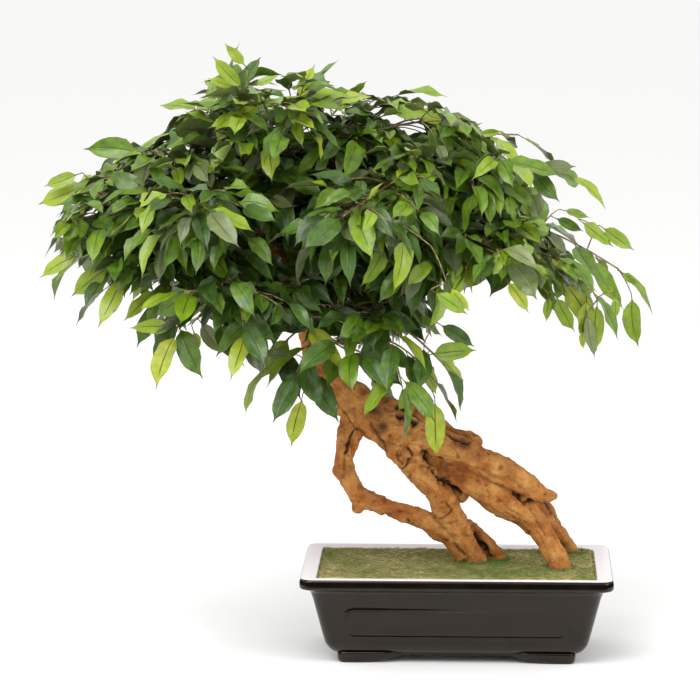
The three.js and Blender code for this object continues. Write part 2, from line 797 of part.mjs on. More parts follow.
const plant = new THREE.Group();
plant.add(toMesh('pot', potBody(), looks.glaze));
plant.add(toMesh('soil_fill', fillBody(), looks.fill));
plant.add(toMesh('moss_mat', matBody(), looks.moss));
plant.add(toMesh('trunk', trunk, looks.wood));
boughBodies.forEach((body, index) => {
  const number = String(index + 1).padStart(2, '0');
  plant.add(toMesh(`leafy_bough_${number}`, body, looks.leaves));
});

// The origin is under the middle of the whole plant, on the surface that the feet stand on.
const bounds = new THREE.Box3().setFromObject(plant);
const middle = bounds.getCenter(vec(0, 0, 0));
plant.position.set(-middle.x, -middle.y, -bounds.min.z);

export default plant;
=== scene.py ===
# Bonsai tree in a pot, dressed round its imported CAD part.
# Shapes are worked out in millimetres from the middle of the pot's base: X to the right, Y to
# the back, Z up. They move to the part's own place, and to metres, where they become meshes.

from functools import partial

import bpy
import numpy as np
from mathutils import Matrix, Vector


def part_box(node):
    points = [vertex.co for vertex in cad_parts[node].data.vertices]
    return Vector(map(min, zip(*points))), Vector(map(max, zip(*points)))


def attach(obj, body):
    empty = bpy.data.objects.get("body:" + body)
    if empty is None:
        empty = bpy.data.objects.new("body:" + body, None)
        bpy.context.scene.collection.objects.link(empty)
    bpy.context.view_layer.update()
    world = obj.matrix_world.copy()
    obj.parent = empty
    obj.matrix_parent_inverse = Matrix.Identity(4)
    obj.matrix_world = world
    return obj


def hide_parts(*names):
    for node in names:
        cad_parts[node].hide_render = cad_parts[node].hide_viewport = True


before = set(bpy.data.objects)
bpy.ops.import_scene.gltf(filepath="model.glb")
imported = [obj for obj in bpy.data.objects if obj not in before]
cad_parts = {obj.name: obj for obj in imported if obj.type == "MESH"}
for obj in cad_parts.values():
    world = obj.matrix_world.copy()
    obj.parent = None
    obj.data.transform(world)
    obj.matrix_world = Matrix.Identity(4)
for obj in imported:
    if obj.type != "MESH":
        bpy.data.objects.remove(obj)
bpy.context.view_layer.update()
potLow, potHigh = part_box("pot")
millimetres = 1000.0
potPlace = np.array([(potLow.x + potHigh.x) / 2, (potLow.y + potHigh.y) / 2, potLow.z]) * millimetres
up = np.array([0.0, 0.0, 1.0])

# Camera

view = {
    "place": (41.4, -4392.1, 1023.4),
    "pitch": 8.66,  # degrees down
    "yaw": 2.173,  # degrees to the left
    "sensor": 36.0,
    "lens": 197.4,
    "farthest": 100.0,  # metres
}


def putCamera():
    # A long lens at the photo's angle: from straight down it turns up by a right angle less its pitch.
    lens = bpy.data.cameras.new("camera")
    lens.sensor_width, lens.lens, lens.clip_end = view["sensor"], view["lens"], view["farthest"]
    camera = bpy.data.objects.new("camera", lens)
    camera.location = (np.array(view["place"]) + potPlace) / millimetres
    camera.rotation_euler = np.radians([90 - view["pitch"], 0, view["yaw"]])
    bpy.context.scene.collection.objects.link(camera)
    bpy.context.scene.camera = camera


putCamera()
bpy.context.scene.view_settings.view_transform = "Standard"
print("camera placed")

# Numbers: directions, seeded draws and noise


def unit(vectors):
    # A vector divided by its own length.
    return vectors / np.linalg.norm(vectors, axis=-1, keepdims=True)


def draw(*keys):
    # A repeatable number from 0 to 1 for a list of whole numbers: the part's own rule.
    mixed = 2166136261
    for key in keys:
        mixed = ((mixed ^ (key + 101)) * 16777619) & 0xFFFFFFFF
        mixed ^= mixed >> 15
        mixed = (mixed * 2246822507) & 0xFFFFFFFF
        mixed ^= mixed >> 13
    return mixed / 4294967296


def spread(reach, *keys):
    # A repeatable number from -reach to reach.
    return (2 * draw(*keys) - 1) * reach


def noise(points, seed=0):
    # Noise from -1 to 1: a random value at each whole-number corner, eased between corners.
    cell = np.floor(points).astype(np.int64)
    part = points - cell
    ease = part * part * part * (part * (part * 6 - 15) + 10)
    total = np.zeros(points.shape[:-1])
    for corner in np.ndindex(2, 2, 2):
        x, y, z = np.moveaxis(cell + corner, -1, 0)
        mixed = x * 374761393 + y * 668265263 + z * 1442695041 + seed * 1013904223
        mixed = (mixed ^ (mixed >> 13)) * 1274126177
        value = ((mixed ^ (mixed >> 16)) & 0xFFFF) / 32767.5 - 1
        total += value * np.prod(np.where(corner, ease, 1 - ease), axis=-1)
    return total


def smoothStep(low, high, value):
    # 0 below low, 1 above high, and a cubic ease between them.
    share = np.clip((value - low) / (high - low), 0, 1)
    return share * share * (3 - 2 * share)


# Meshes


def tubeFaces(rings, sides, first=0):
    # Four-cornered faces between rings of equal counts, each ring closed on itself.
    ring, side = np.meshgrid(np.arange(rings - 1), np.arange(sides), indexing="ij")
    a = ring * sides + side
    b = ring * sides + (side + 1) % sides
    return np.stack([a, b, b + sides, a + sides], -1).reshape(-1, 4) + first


def makePiece(name, points, faces, materials, looks=None, uv=None, faceLooks=None, kinds=None, sharp=None):
    # A mesh object from points in millimetres and a list of arrays of faces with equal corners.
    mesh = bpy.data.meshes.new(name)
    placed = (np.asarray(points, float).reshape(-1, 3) + potPlace) / millimetres
    loops = np.concatenate([group.ravel() for group in faces]).astype(np.int32)
    sizes = np.concatenate([np.full(len(group), group.shape[1]) for group in faces]).astype(np.int32)
    starts = np.concatenate([[0], np.cumsum(sizes)[:-1]]).astype(np.int32)
    mesh.vertices.add(len(placed))
    mesh.vertices.foreach_set("co", placed.ravel())
    mesh.loops.add(len(loops))
    mesh.loops.foreach_set("vertex_index", loops)
    mesh.polygons.add(len(sizes))
    mesh.polygons.foreach_set("loop_start", starts)
    mesh.polygons.foreach_set("use_smooth", np.ones(len(sizes), bool))
    layers = [("POINT", *look) for look in (looks or {}).items()]
    layers += [("FACE", *look) for look in (faceLooks or {}).items()]
    for domain, label, values in layers:
        kind, slot = ("FLOAT_VECTOR", "vector") if values.ndim == 2 else ("FLOAT", "value")
        mesh.attributes.new(label, kind, domain).data.foreach_set(slot, values.ravel())
    if uv is not None:
        mesh.uv_layers.new(name="blade").data.foreach_set("uv", uv[loops].ravel())
    for material in materials:
        mesh.materials.append(material)
    if kinds is not None:
        mesh.polygons.foreach_set("material_index", kinds.astype(np.int32))
    mesh.update(calc_edges=True)
    mesh.validate()
    if sharp is not None:
        ends = meshValues(mesh.edges, "vertices", 2, np.int32)
        mesh.attributes.new("sharp_edge", "BOOLEAN", "EDGE").data.foreach_set("value", sharp[ends].all(1))
    piece = bpy.data.objects.new(name, mesh)
    bpy.context.scene.collection.objects.link(piece)
    return piece


def meshValues(items, name, width=1, kind=float):
    # One value of each vertex, loop or edge, as rows of its numbers.
    values = np.empty(len(items) * width, kind)
    items.foreach_get(name, values)
    return values.reshape(-1, width)


def movingFrames(path):
    # Two directions across a path at each point, carried along it without twisting.
    tangents = unit(np.gradient(path, axis=0))
    hint = up if abs(tangents[0][2]) < 0.8 else np.array([0.0, 1.0, 0.0])
    across = [unit(np.cross(hint, tangents[0]))]
    for tangent in tangents[1:]:
        across.append(unit(across[-1] - tangent * (across[-1] @ tangent)))
    across = np.array(across)
    return tangents, across, np.cross(tangents, across)


# Materials


def linear(colour):
    # The linear colour of an sRGB hex value.
    parts = np.array([int(colour[n:n + 2], 16) for n in (1, 3, 5)]) / 255
    parts = np.where(parts <= 0.04045, parts / 12.92, ((parts + 0.055) / 1.055) ** 2.4)
    return (*parts, 1.0)


def addNode(tree, kind, inputs=None, take=None, stops=None, **settings):
    # One node with its settings and links: an input is a number, a hex colour or another node's output,
    # and a ramp's stops are {place: hex colour}. It gives back the output to take, or the first in use.
    node = tree.nodes.new("ShaderNode" + kind)
    for name, value in settings.items():
        setattr(node, name, value)
    for socket, value in (inputs or {}).items():
        if isinstance(value, bpy.types.NodeSocket):
            tree.links.new(value, node.inputs[socket])
        else:
            node.inputs[socket].default_value = linear(value) if isinstance(value, str) else value
    if stops:
        elements = node.color_ramp.elements
        while len(elements) < len(stops):
            elements.new(0.5)
        for element, (place, colour) in zip(elements, sorted(stops.items())):
            element.position, element.color = place, linear(colour)
    return node.outputs[take] if take else next(socket for socket in node.outputs if socket.enabled)


def startMaterial(name, **shader):
    # An empty material, its Principled shader set to plain values, and the way to add nodes to it.
    material = bpy.data.materials.new(name)
    material.use_nodes = True
    surface = material.node_tree.nodes["Principled BSDF"]
    for socket, value in shader.items():
        surface.inputs[socket.replace("_", " ")].default_value = value
    return material, surface, partial(addNode, material.node_tree)


def linkSurface(surface, colour, bump):
    # The last colour and the last bump go to the shader.
    surface.id_data.links.new(colour, surface.inputs["Base Color"])
    surface.id_data.links.new(bump, surface.inputs["Normal"])


# Studio: pale floor, black cards and soft light

studio = {
    "floorColour": "#fdfdfc",
    "floorReach": 30000.0,
    "floorDrop": 0.3,
    "world": 0.95,
    "middle": (-100.0, 0.0, 350.0),
    # each lamp: its place in metres from the plant's middle, its size in metres, its power in watts
    "lamps": {
        "key": ((-0.9, -1.6, 2.2), 1.8, 58.0),
        "fill": ((1.9, -1.2, 1.0), 0.9, 13.0),
    },
    # the cards stand this far out and this high; the lying one starts here, just over the floor
    "cardColour": "#050505",
    "cardReach": 620.0,
    "cardHeight": 300.0,
    "cardStart": 285.0,
    "cardLift": 0.5,
}


def putCard(name, corners, colour):
    # A flat sheet with a matt surface that is part of the studio, not of the plant.
    material, surface, add = startMaterial(name, Base_Color=linear(colour), Roughness=0.9)
    card = makePiece(name, np.array(corners, float), [np.array([[0, 1, 2, 3]])], [material])
    return card


def putBlackCards():
    # Cards that stand before and beside the pot, and one that lies before it. They are seen only as
    # reflections, and keep the pot's upright rim deep black.
    ahead, right, reach = np.array([0.0, -1.0, 0.0]), np.array([1.0, 0.0, 0.0]), studio["cardReach"]
    top, lifted = up * studio["cardHeight"], up * studio["cardLift"]
    cards = {
        "standing_0": (ahead * reach, ahead * reach + top, right),
        "lying_0": (ahead * studio["cardStart"] + lifted, ahead * reach + lifted, right),
        "standing_1": (right * reach, right * reach + top, -ahead),
        "standing_2": (-right * reach, -right * reach + top, ahead),
    }
    for name, (inner, outer, side) in cards.items():
        along = side * reach
        card = putCard(f"black_card_{name}", [inner - along, outer - along, outer + along, inner + along],
                       studio["cardColour"])
        card.visible_camera = card.visible_diffuse = card.visible_shadow = False


def putLamp(name, offset, size, power):
    # A square lamp that looks at the plant's middle: tipped by its way's slope, turned by its bearing.
    lamp = bpy.data.lights.new(name, "AREA")
    lamp.size, lamp.energy = size, power
    holder = bpy.data.objects.new(name, lamp)
    holder.location = (np.array(studio["middle"]) + potPlace) / millimetres + np.array(offset)
    x, y, z = -np.array(offset)
    holder.rotation_euler = (np.pi / 2 + np.arctan2(z, np.hypot(x, y)), 0, np.arctan2(-x, y))
    bpy.context.scene.collection.objects.link(holder)


def putStudio():
    # A pale floor just under the pot, the cards, an even white world and two lamps.
    reach, height = studio["floorReach"], -studio["floorDrop"]
    putCard("matt_paper_floor", [[-reach, -reach, height], [reach, -reach, height],
                                 [reach, reach, height], [-reach, reach, height]], studio["floorColour"])
    putBlackCards()
    world = bpy.data.worlds.new("studio")
    world.use_nodes = True
    background = world.node_tree.nodes["Background"]
    background.inputs["Color"].default_value = (1, 1, 1, 1)
    background.inputs["Strength"].default_value = studio["world"]
    bpy.context.scene.world = world
    for name, (offset, size, power) in studio["lamps"].items():
        putLamp(name, offset, size, power)


putStudio()
print("studio placed")

# Pot: glazed stoneware, black outside and white inside

pot = {
    "halfWidth": 180.0,
    "halfDepth": 106.0,
    # each row is [inset from the rim's outer edge, height, corner radius], and the steps to the next
    "outside": [
        [42.8, 9.6, 9], [36, 13, 10], [30.2, 20, 12], [26.4, 30, 14], [17, 68, 15], [13.8, 80.5, 15],
        [10.6, 87.6, 14], [4, 90.8, 13], [0.8, 92.6, 13], [0, 97, 13], [0.6, 101.8, 13], [2.8, 104.6, 12],
    ],
    "outsideSteps": [3, 4, 5, 46, 12, 4, 4, 3, 3, 4, 3],
    "inside": [
        [9, 104.6, 10], [16.6, 102.6, 7], [19.8, 100.4, 5], [20.6, 84, 5], [30, 46, 8], [38.6, 28, 10],
        [47.6, 22, 9],
    ],
    "insideSteps": [3, 3, 4, 4, 3, 3],
    "wallSteps": (220, 50, 9),
    # the white glaze starts, and is full, this many rings before the outside's last one
    "whiteFrom": (2.6, 1.4),
}

panel = {
    "halfWidth": 130.0,
    "halfHeight": 16.0,
    "corner": 14.0,
    "middle": 48.5,
    "depth": 2.4,
    "wall": (20, 84),  # the heights between which the wall is flat enough
    # how deep it is sunk: softly from outside to inside its edge, or sharply where it is crisp
    "softEdge": (1.5, -6.5),
    "softShare": 0.38,
    "sharpEdge": (0.6, -2.6),
    # the bead's height, more where it is crisp; its crest lies outside the edge, wider on its outer side
    "bead": 0.5,
    "crispBead": 0.75,
    "crest": 0.4,
    "beadWidths": (3.0, 1.5),
    # crisp above the middle, and worn away from the left to the right
    "crispUp": (-4, 10),
    "crispAcross": (70, -140),
}

plinth = {
    "halfWidth": 137.5,
    "halfDepth": 72.0,
    "archHalfWidth": 59.0,
    "sideArchHalfWidth": 13.0,
    "archSlope": 50.0,
    "archTop": 7.4,
    "faceRecess": 7.0,
    "recessFrom": 0.55,
    # rows from the top's hidden middle, round the edges and in under the pot, as for the pot
    "rows": [
        [9, 12.9, 4], [1.6, 12.7, 7], [0.4, 11.9, 8], [0, 10, 8], [0.3, 6, 8], [1.0, 2.4, 8],
        [1.7, 0.9, 7.6], [2.7, 0.2, 7], [4.5, 0, 6], [12, 0, 4], [24, 0, 3], [38, 0, 2], [54, 0, 2],
        [70, 0, 2],
    ],
    "steps": (110, 50, 6),
}


def oblongRings(halfWidth, halfDepth, rows, steps):
    # Rounded rectangles, one for each row: straight runs between quarter circles at the corners.
    insets, heights, radii = rows.T
    longSteps, shortSteps, cornerSteps = steps
    halfX, halfY = halfWidth - insets, halfDepth - insets
    columns = []
    for quarter, (signX, signY) in enumerate([(1, 1), (-1, 1), (-1, -1), (1, -1)]):
        for turn in (quarter + np.linspace(0, 1, cornerSteps)) * np.pi / 2:
            columns.append((signX * (halfX - radii) + radii * np.cos(turn),
                            signY * (halfY - radii) + radii * np.sin(turn)))
        for share in np.linspace(1, -1, (longSteps if quarter % 2 == 0 else shortSteps) + 1)[1:-1]:
            if quarter % 2 == 0:
                columns.append(((halfX - radii) * signX * share, signY * halfY))
            else:
                columns.append((signX * halfX, (halfY - radii) * signY * share))
    x, y = (np.stack([column[axis] for column in columns], 1) for axis in (0, 1))
    return np.stack([x, y, np.repeat(heights[:, None], x.shape[1], 1)], -1)


def roundedPath(rows, steps):
    # A smooth line through rows of numbers: Catmull-Rom pieces between each pair of rows.
    rows = np.array(rows, float)
    padded = np.concatenate([[2 * rows[0] - rows[1]], rows, [2 * rows[-1] - rows[-2]]])
    made = []
    for n, count in enumerate(steps):
        p0, p1, p2, p3 = padded[n:n + 4]
        t = (np.arange(count) / count)[:, None]
        curve = (p2 - p0) * t + (2 * p0 - 5 * p1 + 4 * p2 - p3) * t**2 + (3 * p1 - p0 - 3 * p2 + p3) * t**3
        made.append(p1 + curve / 2)
    made.append(rows[-1:])
    return np.concatenate(made)


def panelPush(x, z):
    # How far the wall stands in at a place: a sunk panel in a rounded oblong, less a bell-shaped bead
    # round it. The upper edge is crisp at the left and worn to the right, and the lower edge is soft.
    reachX = np.abs(x) - (panel["halfWidth"] - panel["corner"])
    reachZ = np.abs(z - panel["middle"]) - (panel["halfHeight"] - panel["corner"])
    corner = np.hypot(np.maximum(reachX, 0), np.maximum(reachZ, 0))
    edge = corner + np.minimum(np.maximum(reachX, reachZ), 0) - panel["corner"]
    crisp = smoothStep(*panel["crispUp"], z - panel["middle"]) * smoothStep(*panel["crispAcross"], x)
    soft = smoothStep(*panel["softEdge"], edge) * panel["softShare"]
    sharp = smoothStep(*panel["sharpEdge"], edge)
    fromCrest = (edge - panel["crest"]) / np.where(edge > panel["crest"], *panel["beadWidths"])
    bead = (panel["bead"] + panel["crispBead"] * crisp) * np.exp(-fromCrest**2)
    return panel["depth"] * (soft + (sharp - soft) * crisp) - bead


def potShell():
    # The wall's rings, up the outside, over the rim and down the inside, with the panels pushed in on
    # the flat of the two long outer sides.
    outer = roundedPath(pot["outside"], pot["outsideSteps"])
    inner = roundedPath(pot["inside"], pot["insideSteps"])
    rows = np.concatenate([outer, inner])
    rings = oblongRings(pot["halfWidth"], pot["halfDepth"], rows, pot["wallSteps"])
    x, y, z = np.moveaxis(rings, -1, 0)
    lowest, highest = panel["wall"]
    onWall = np.abs(np.abs(y) - (pot["halfDepth"] - rows[:, :1])) < 0.01
    onWall &= (np.arange(len(rows)) < len(outer))[:, None] & (z > lowest) & (z < highest)
    rings[..., 1] -= np.sign(y) * panelPush(x, z) * onWall
    return rings, len(outer)


def plinthRings():
    # The underside rises under two crossing arches: level, then sloping down to the four feet. The
    # long faces stand in under the wide arch.
    rows = np.array(plinth["rows"], float)
    rings = oblongRings(plinth["halfWidth"], plinth["halfDepth"], rows, plinth["steps"])
    slope, top = plinth["archSlope"], plinth["rows"][0][1]
    overX = 1 - np.clip((np.abs(rings[..., 0]) - plinth["archHalfWidth"]) / slope, 0, 1)
    overY = 1 - np.clip((np.abs(rings[..., 1]) - plinth["sideArchHalfWidth"]) / slope, 0, 1)
    lift = plinth["archTop"] * np.maximum(overX, overY)
    recess = plinth["faceRecess"] * smoothStep(plinth["recessFrom"], 1.0, overX)
    rings[..., 1] -= np.sign(rings[..., 1]) * np.minimum(recess, np.abs(rings[..., 1]) - 1)
    rings[..., 2] += lift * (1 - rings[..., 2] / top)
    return rings


def endFan(first, sides, centre):
    # Triangles from a ring to one point in its middle, facing up where the ring is counter-clockwise.
    side = np.arange(sides)
    return np.stack([first + side, first + (side + 1) % sides, np.full(sides, centre)], 1)


def potPiece(material):
    # The wall closed by fans under its base and on its floor, and the plinth closed by fans too. Rings
    # from just before the lip inwards are white.
    shell, outerRows = potShell()
    feet = plinthRings()
    count, columns = shell.shape[0] * shell.shape[1], shell.shape[1]
    first, sides = count + 2, feet.shape[1]
    last = first + feet.shape[0] * sides
    middles = [[0, 0, pot["outside"][0][1]], [0, 0, pot["inside"][-1][1]]]
    footMiddles = [[0, 0, plinth["rows"][0][1]], [0, 0, plinth["archTop"]]]
    points = np.concatenate([shell.reshape(-1, 3), middles, feet.reshape(-1, 3), footMiddles])
    quads = [tubeFaces(shell.shape[0], columns), tubeFaces(feet.shape[0], sides, first)[:, ::-1]]
    fans = [
        endFan(0, columns, count)[:, ::-1],
        endFan(count - columns, columns, count + 1),
        endFan(first, sides, last),
        endFan(last - sides, sides, last + 1)[:, ::-1],
    ]
    start, full = (outerRows - rings for rings in pot["whiteFrom"])
    white = np.repeat(smoothStep(start, full, np.arange(shell.shape[0])), columns)
    inside = np.concatenate([white, [0, 1], np.zeros(len(points) - first)])
    piece = makePiece("pot_glazed", points, [np.concatenate(quads), np.concatenate(fans)], [material],
                      {"inside": inside})
    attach(piece, "root")
    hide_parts("pot")
    return piece


def glazedStoneware():
    # Stoneware dipped in a glossy black-brown glaze, with white glaze inside: a deep, wet look.
    material, surface, add = startMaterial(
        "black_glazed_stoneware", Roughness=0.13, IOR=1.5, Specular_Tint=(0.85, 0.76, 0.67, 1.0))
    place = add("TexCoord", take="Object")
    inside = add("Attribute", take="Fac", attribute_name="inside")
    # the glaze wanders between black and brown over 15 to 30 mm
    wander = add("TexNoise", {"Vector": place, "Scale": 45.0, "Detail": 4.0})
    black = add("ValToRGB", {"Fac": wander}, stops={0.3: "#0b0805", 0.7: "#19120d"})
    edge = add("MapRange", {"Value": inside, "From Min": 0.42, "From Max": 0.58})
    colour = add("Mix", {"Factor": edge, "A": black, "B": "#f1e8eb"}, data_type="RGBA")
    # the dried glaze lies in soft ripples about 30 mm apart
    ripple = add("TexNoise", {"Vector": place, "Scale": 32.0, "Detail": 2.0})
    linkSurface(surface, colour, add("Bump", {"Height": ripple, "Distance": 0.0005, "Strength": 0.3}))
    return material


potPiece(glazedStoneware())
print("pot made")

# Filling under the moss: packed brown grit, hardly seen


def packedGrit():
    # Peat and grit pressed together: dull, dark and grainy, with grains of 2 to 3 mm.
    material, surface, add = startMaterial("pressed_peat_and_grit", Roughness=0.95)
    grain = add("TexVoronoi", {"Vector": add("TexCoord", take="Object"), "Scale": 400.0})
    colour = add("ValToRGB", {"Fac": grain}, stops={0.0: "#7a644c", 0.6: "#3a2c20"})
    linkSurface(surface, colour, add("Bump", {"Height": grain, "Distance": 0.001, "Strength": 0.7}))
    return material


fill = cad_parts["soil_fill"]
fill.data.materials.clear()
fill.data.materials.append(packedGrit())
print("filling finished")

# Trunk: driftwood-like root wood

trunk = {
    "voxel": 1.7,
    "sides": 24,
    "pathStep": 4.0,
    "blend": 3.0,
    "smoothing": 5,
    "swell": 0.8,
    # three blunt ridges wind along each strand, and its round ends are this many radii long
    "ridge": 0.11,
    "ridgeTurn": 0.32,
    "endLength": 0.55,
    "endRings": 4,
    # grooves where strands meet, and pits
    "lift": 0.4,
    "grooveDepth": 1.9,
    "grooveWidth": 3.2,
    # the painted shade along a seam between strands is this wide
    "seamWidth": 1.8,
    "pitDepth": 1.4,
    # the grain of each strand starts this far on in the noise from the last one's
    "grainShift": 37.0,
}

# Each strand is a list of [x, y, z, radius] along its middle, as in the part.
strands = {
    "leader": [
        [-241, 10, 497, 6.4], [-217, 5, 467, 8.5], [-190, 0, 435, 10.4], [-176, -5, 404, 11],
        [-171, -8, 371, 11], [-162, -8, 343, 13.4], [-143, -5, 317, 18.8], [-121, 0, 293, 23],
        [-98, 0, 273, 23], [-80, 0, 256, 18.4],
    ],
    "cutStub": [[-188, 2, 436, 8], [-206, -5, 431, 8.6], [-222, -9, 426, 7.6]],
    "upperStrand": [
        [-108, 0, 284, 18], [-73, -6, 261, 19.4], [-38, -8, 249, 16], [-4, -6, 238, 16],
        [29, -4, 224, 16], [58, -2, 210, 16.2], [81, 0, 194.5, 14], [99, 2, 186, 8.4],
        [114, 4, 183, 2.4],
    ],
    "lowerStrand": [
        [-31, 2, 231, 7], [-8, 2, 213, 13.4], [20, 2, 198, 16.5], [48, 2, 180, 18],
        [74, 0, 167, 16.4], [92, -8, 152, 14.4], [105, -16, 134, 12], [115.6, -23, 115, 11],
        [121.5, -28, 98, 10], [124, -29, 80, 8],
    ],
    "backRoot": [
        [88, 10, 174, 10.5], [101, 22, 160, 10.6], [112, 40, 140, 9.4], [123, 56, 122, 8.6],
        [133, 68, 105, 8.2], [138, 71, 92, 8], [138, 71, 82, 6.5],
    ],
    "middleStrand": [
        [-92, 0, 270, 18.4], [-74, -4, 250, 17], [-60, -8, 233, 16], [-42, -9, 211, 15],
        [-27, -8, 196, 13.4], [-17, -5, 181, 13.8], [-11, -3, 167, 14.2], [-4, 0, 152, 14],
        [6, 4, 134, 13.6], [15, 9, 116, 13], [22, 12, 98, 12], [25, 13, 78, 9],
    ],
    "shortRoot": [
        [9, 10, 143, 6], [17, 14, 139, 7.6], [27, 17, 131, 7.4], [37, 21, 120, 8.8],
        [46, 24, 106, 9.4], [52, 26, 94, 8.2], [52, 26, 80, 6.4],
    ],
    "loopRoot": [
        [-121, -8, 286, 14], [-126, -11, 266, 11.6], [-130, -15, 249, 9.6], [-132, -18, 233, 9.6],
        [-132, -18, 219, 10.8], [-127, -18, 206, 10.4], [-120, -17, 195, 10], [-111, -16, 184, 11],
        [-93, -13, 176, 9.8], [-76, -10, 169, 8.8], [-55, -6, 161, 8.8], [-37, -3, 153, 9.8],
        [-23, 0, 144, 10.4], [-7, 3, 133, 11], [9, 8, 112, 11],
    ],
    "loopFork": [[-108, -4, 274, 8], [-114, -10, 258, 5.2], [-121, -14, 242, 4.6], [-127, -17, 228, 5]],
    "loopStub": [[-79, -9, 165, 6.4], [-65, -18, 162, 5.8], [-55, -25, 160, 5]],
    "backKnob": [
        [-102, 14, 284, 13], [-69, 22, 278, 12], [-42, 24, 269, 11.6], [-15, 24, 251, 11],
        [4, 20, 245.5, 11], [16, 17, 244.5, 10.4], [24, 16, 241, 7.6],
    ],
    "fin": [[-45, 4, 236, 6], [-31, 11, 220, 5.4], [-17, 12, 201, 6], [-3, 10, 189, 7.6], [8, 6, 184, 8]],
}

# Knots and burls that stand out of the wood: [x, y, z, radius].
burls = [
    [-66, -19, 252, 8], [-54, -21, 243, 8.5], [-60, -22, 234, 6.5], [-47, -19, 231, 7], [-72, -18, 240, 6],
    [-136, -18, 214, 8], [-116, -20, 174, 7], [10, -1, 146, 5.5], [14, 6, 149, 4.6], [-30, -20, 214, 6],
    [-8, -14, 182, 7], [88, -4, 189, 6], [96, 10, 176, 6], [-152, -10, 322, 6], [-171, -14, 362, 5],
]

# Cracks and hollows on the side that faces front: [[x, z] ...], half width, depth, and darkness, which is
# painted shade laid in them.
frontCuts = [
    ([[-148, 308], [-132, 284], [-110, 258]], 1.3, 1.9, 0.7),
    ([[-69, 284], [-60, 277]], 5.0, 6.0, 1.0),
    ([[-60, 277], [-50, 269]], 2.8, 5.0, 1.0),
    ([[-118, 264], [-124, 253], [-130, 237]], 2.4, 4.4, 0.95),
    ([[-130, 237], [-132, 223], [-131, 212]], 1.4, 1.8, 0.5),
    ([[-41, 240], [-33, 224], [-25, 211], [-11, 199], [2, 188]], 2.7, 6.5, 1.0),
    ([[-9, 247], [-3, 241], [3, 233]], 0.9, 1.0, 0.6),
    ([[-18, 261], [-2, 252], [13, 246]], 2.2, 4.0, 0.95),
    ([[-12, 178], [-6, 168], [-19, 158]], 1.2, 2.0, 0.8),
    ([[-57, 160], [-55, 154]], 2.8, 3.2, 0.95),
    ([[25, 217], [42, 209], [59, 207], [72, 198]], 3.4, 2.8, 0.25),
    ([[65, 188], [73, 181], [86, 177]], 1.7, 3.6, 0.9),
    ([[22, 137], [30, 122], [38, 107]], 2.8, 6.5, 1.0),
    ([[49, 223], [49, 219]], 2.0, 1.7, 0.6),
    ([[33, 198], [34, 197]], 1.8, 1.6, 0.6),
    ([[35, 192], [36, 191]], 1.8, 1.6, 0.6),
    ([[84, 172], [95, 153], [102, 142]], 1.4, 1.8, 0.5),
    ([[54, 176], [71, 165]], 1.1, 1.1, 0.5),
    ([[-101, 271], [-89, 251], [-82, 239]], 2.8, 2.4, 0.6),
    ([[-148, 204], [-142, 189]], 1.2, 1.2, 0.4),
    ([[-59, 247], [-52, 237], [-58, 225], [-66, 216]], 1.7, 2.8, 0.85),
    ([[-70, 234], [-63, 225]], 1.7, 2.6, 0.8),
    ([[100, 178], [105, 166], [108, 159]], 1.9, 3.2, 0.8),
    ([[-26, 234], [-15, 228]], 1.8, 4.0, 0.9),
    ([[-19, 219], [-8, 212], [4, 205]], 6.0, 3.2, 0.3),
    ([[-4, 128], [8, 112]], 1.2, 1.6, 0.6),
    ([[115, 96], [123, 92]], 5.0, 0.6, 0.6),
]

# Patches seen from the front, as [x, z, radius]: wrinkled burls, rust-red wood and one burnt spot.
patches = {
    "wrinkled": [[-58, 234, 22], [-98, 176, 18], [-10, 162, 16], [-66, 276, 16], [14, 140, 9]],
    "rust": [[-8, 212, 15], [107, 168, 11], [-150, 330, 16], [-100, 182, 12], [-70, 168, 12], [6, 244, 10]],
    "burnt": [[-97, 287, 10], [-86, 268, 7]],
}


def strandTube(rows):
    # A ring of the given radius carried along the strand, with three blunt winding ridges. Each end is
    # closed round by a few more rings on a flattened quarter circle.
    rows = np.array(rows, float)
    span = np.linalg.norm(np.diff(rows[:, :3], axis=0), axis=1)
    steps = np.maximum(2, np.round(span / trunk["pathStep"])).astype(int)
    smooth = roundedPath(rows, steps)
    path, radii = smooth[:, :3], smooth[:, 3]
    tangents, across, over = movingFrames(path)
    order = np.concatenate([*(n + np.arange(count) / count for n, count in enumerate(steps)), [len(steps)]])
    more, last = trunk["endRings"], len(path) - 1
    bend = np.linspace(0, 1, more + 1)[1:] * np.pi / 2
    which = np.concatenate([np.zeros(more, int), np.arange(len(path)), np.full(more, last)])
    out = np.concatenate([-np.sin(bend)[::-1], np.zeros(len(path)), np.sin(bend)])
    shrink = np.concatenate([np.cos(bend)[::-1], np.ones(len(path)), np.cos(bend)])
    centres = path[which] + tangents[which] * radii[which, None] * trunk["endLength"] * out[:, None]
    sizes = np.maximum(radii[which] * shrink, 0.05)
    angle = np.arange(trunk["sides"]) / trunk["sides"] * 2 * np.pi
    ridges = np.cos(3 * (angle[None, :] + order[which][:, None] * trunk["ridgeTurn"]))
    spokes = across[which][:, None] * np.cos(angle)[None, :, None]
    spokes = spokes + over[which][:, None] * np.sin(angle)[None, :, None]
    rings = centres[:, None] + (sizes[:, None] * (1 + trunk["ridge"] * ridges))[..., None] * spokes
    line = {"path": path, "radii": radii, "tangents": tangents, "across": across, "over": over}
    line["along"] = np.concatenate([[0], np.cumsum(np.linalg.norm(np.diff(path, axis=0), axis=1))])
    return rings, line


def ballRings(centre, radius):
    # A ball as rings from pole to pole.
    polar = np.linspace(0.02, np.pi - 0.02, 9)[:, None]
    angle = np.arange(trunk["sides"])[None, :] / trunk["sides"] * 2 * np.pi
    height = -np.cos(polar) * np.ones_like(angle)
    shape = np.stack([np.sin(polar) * np.cos(angle), np.sin(polar) * np.sin(angle), height], -1)
    return np.array(centre) + radius * shape


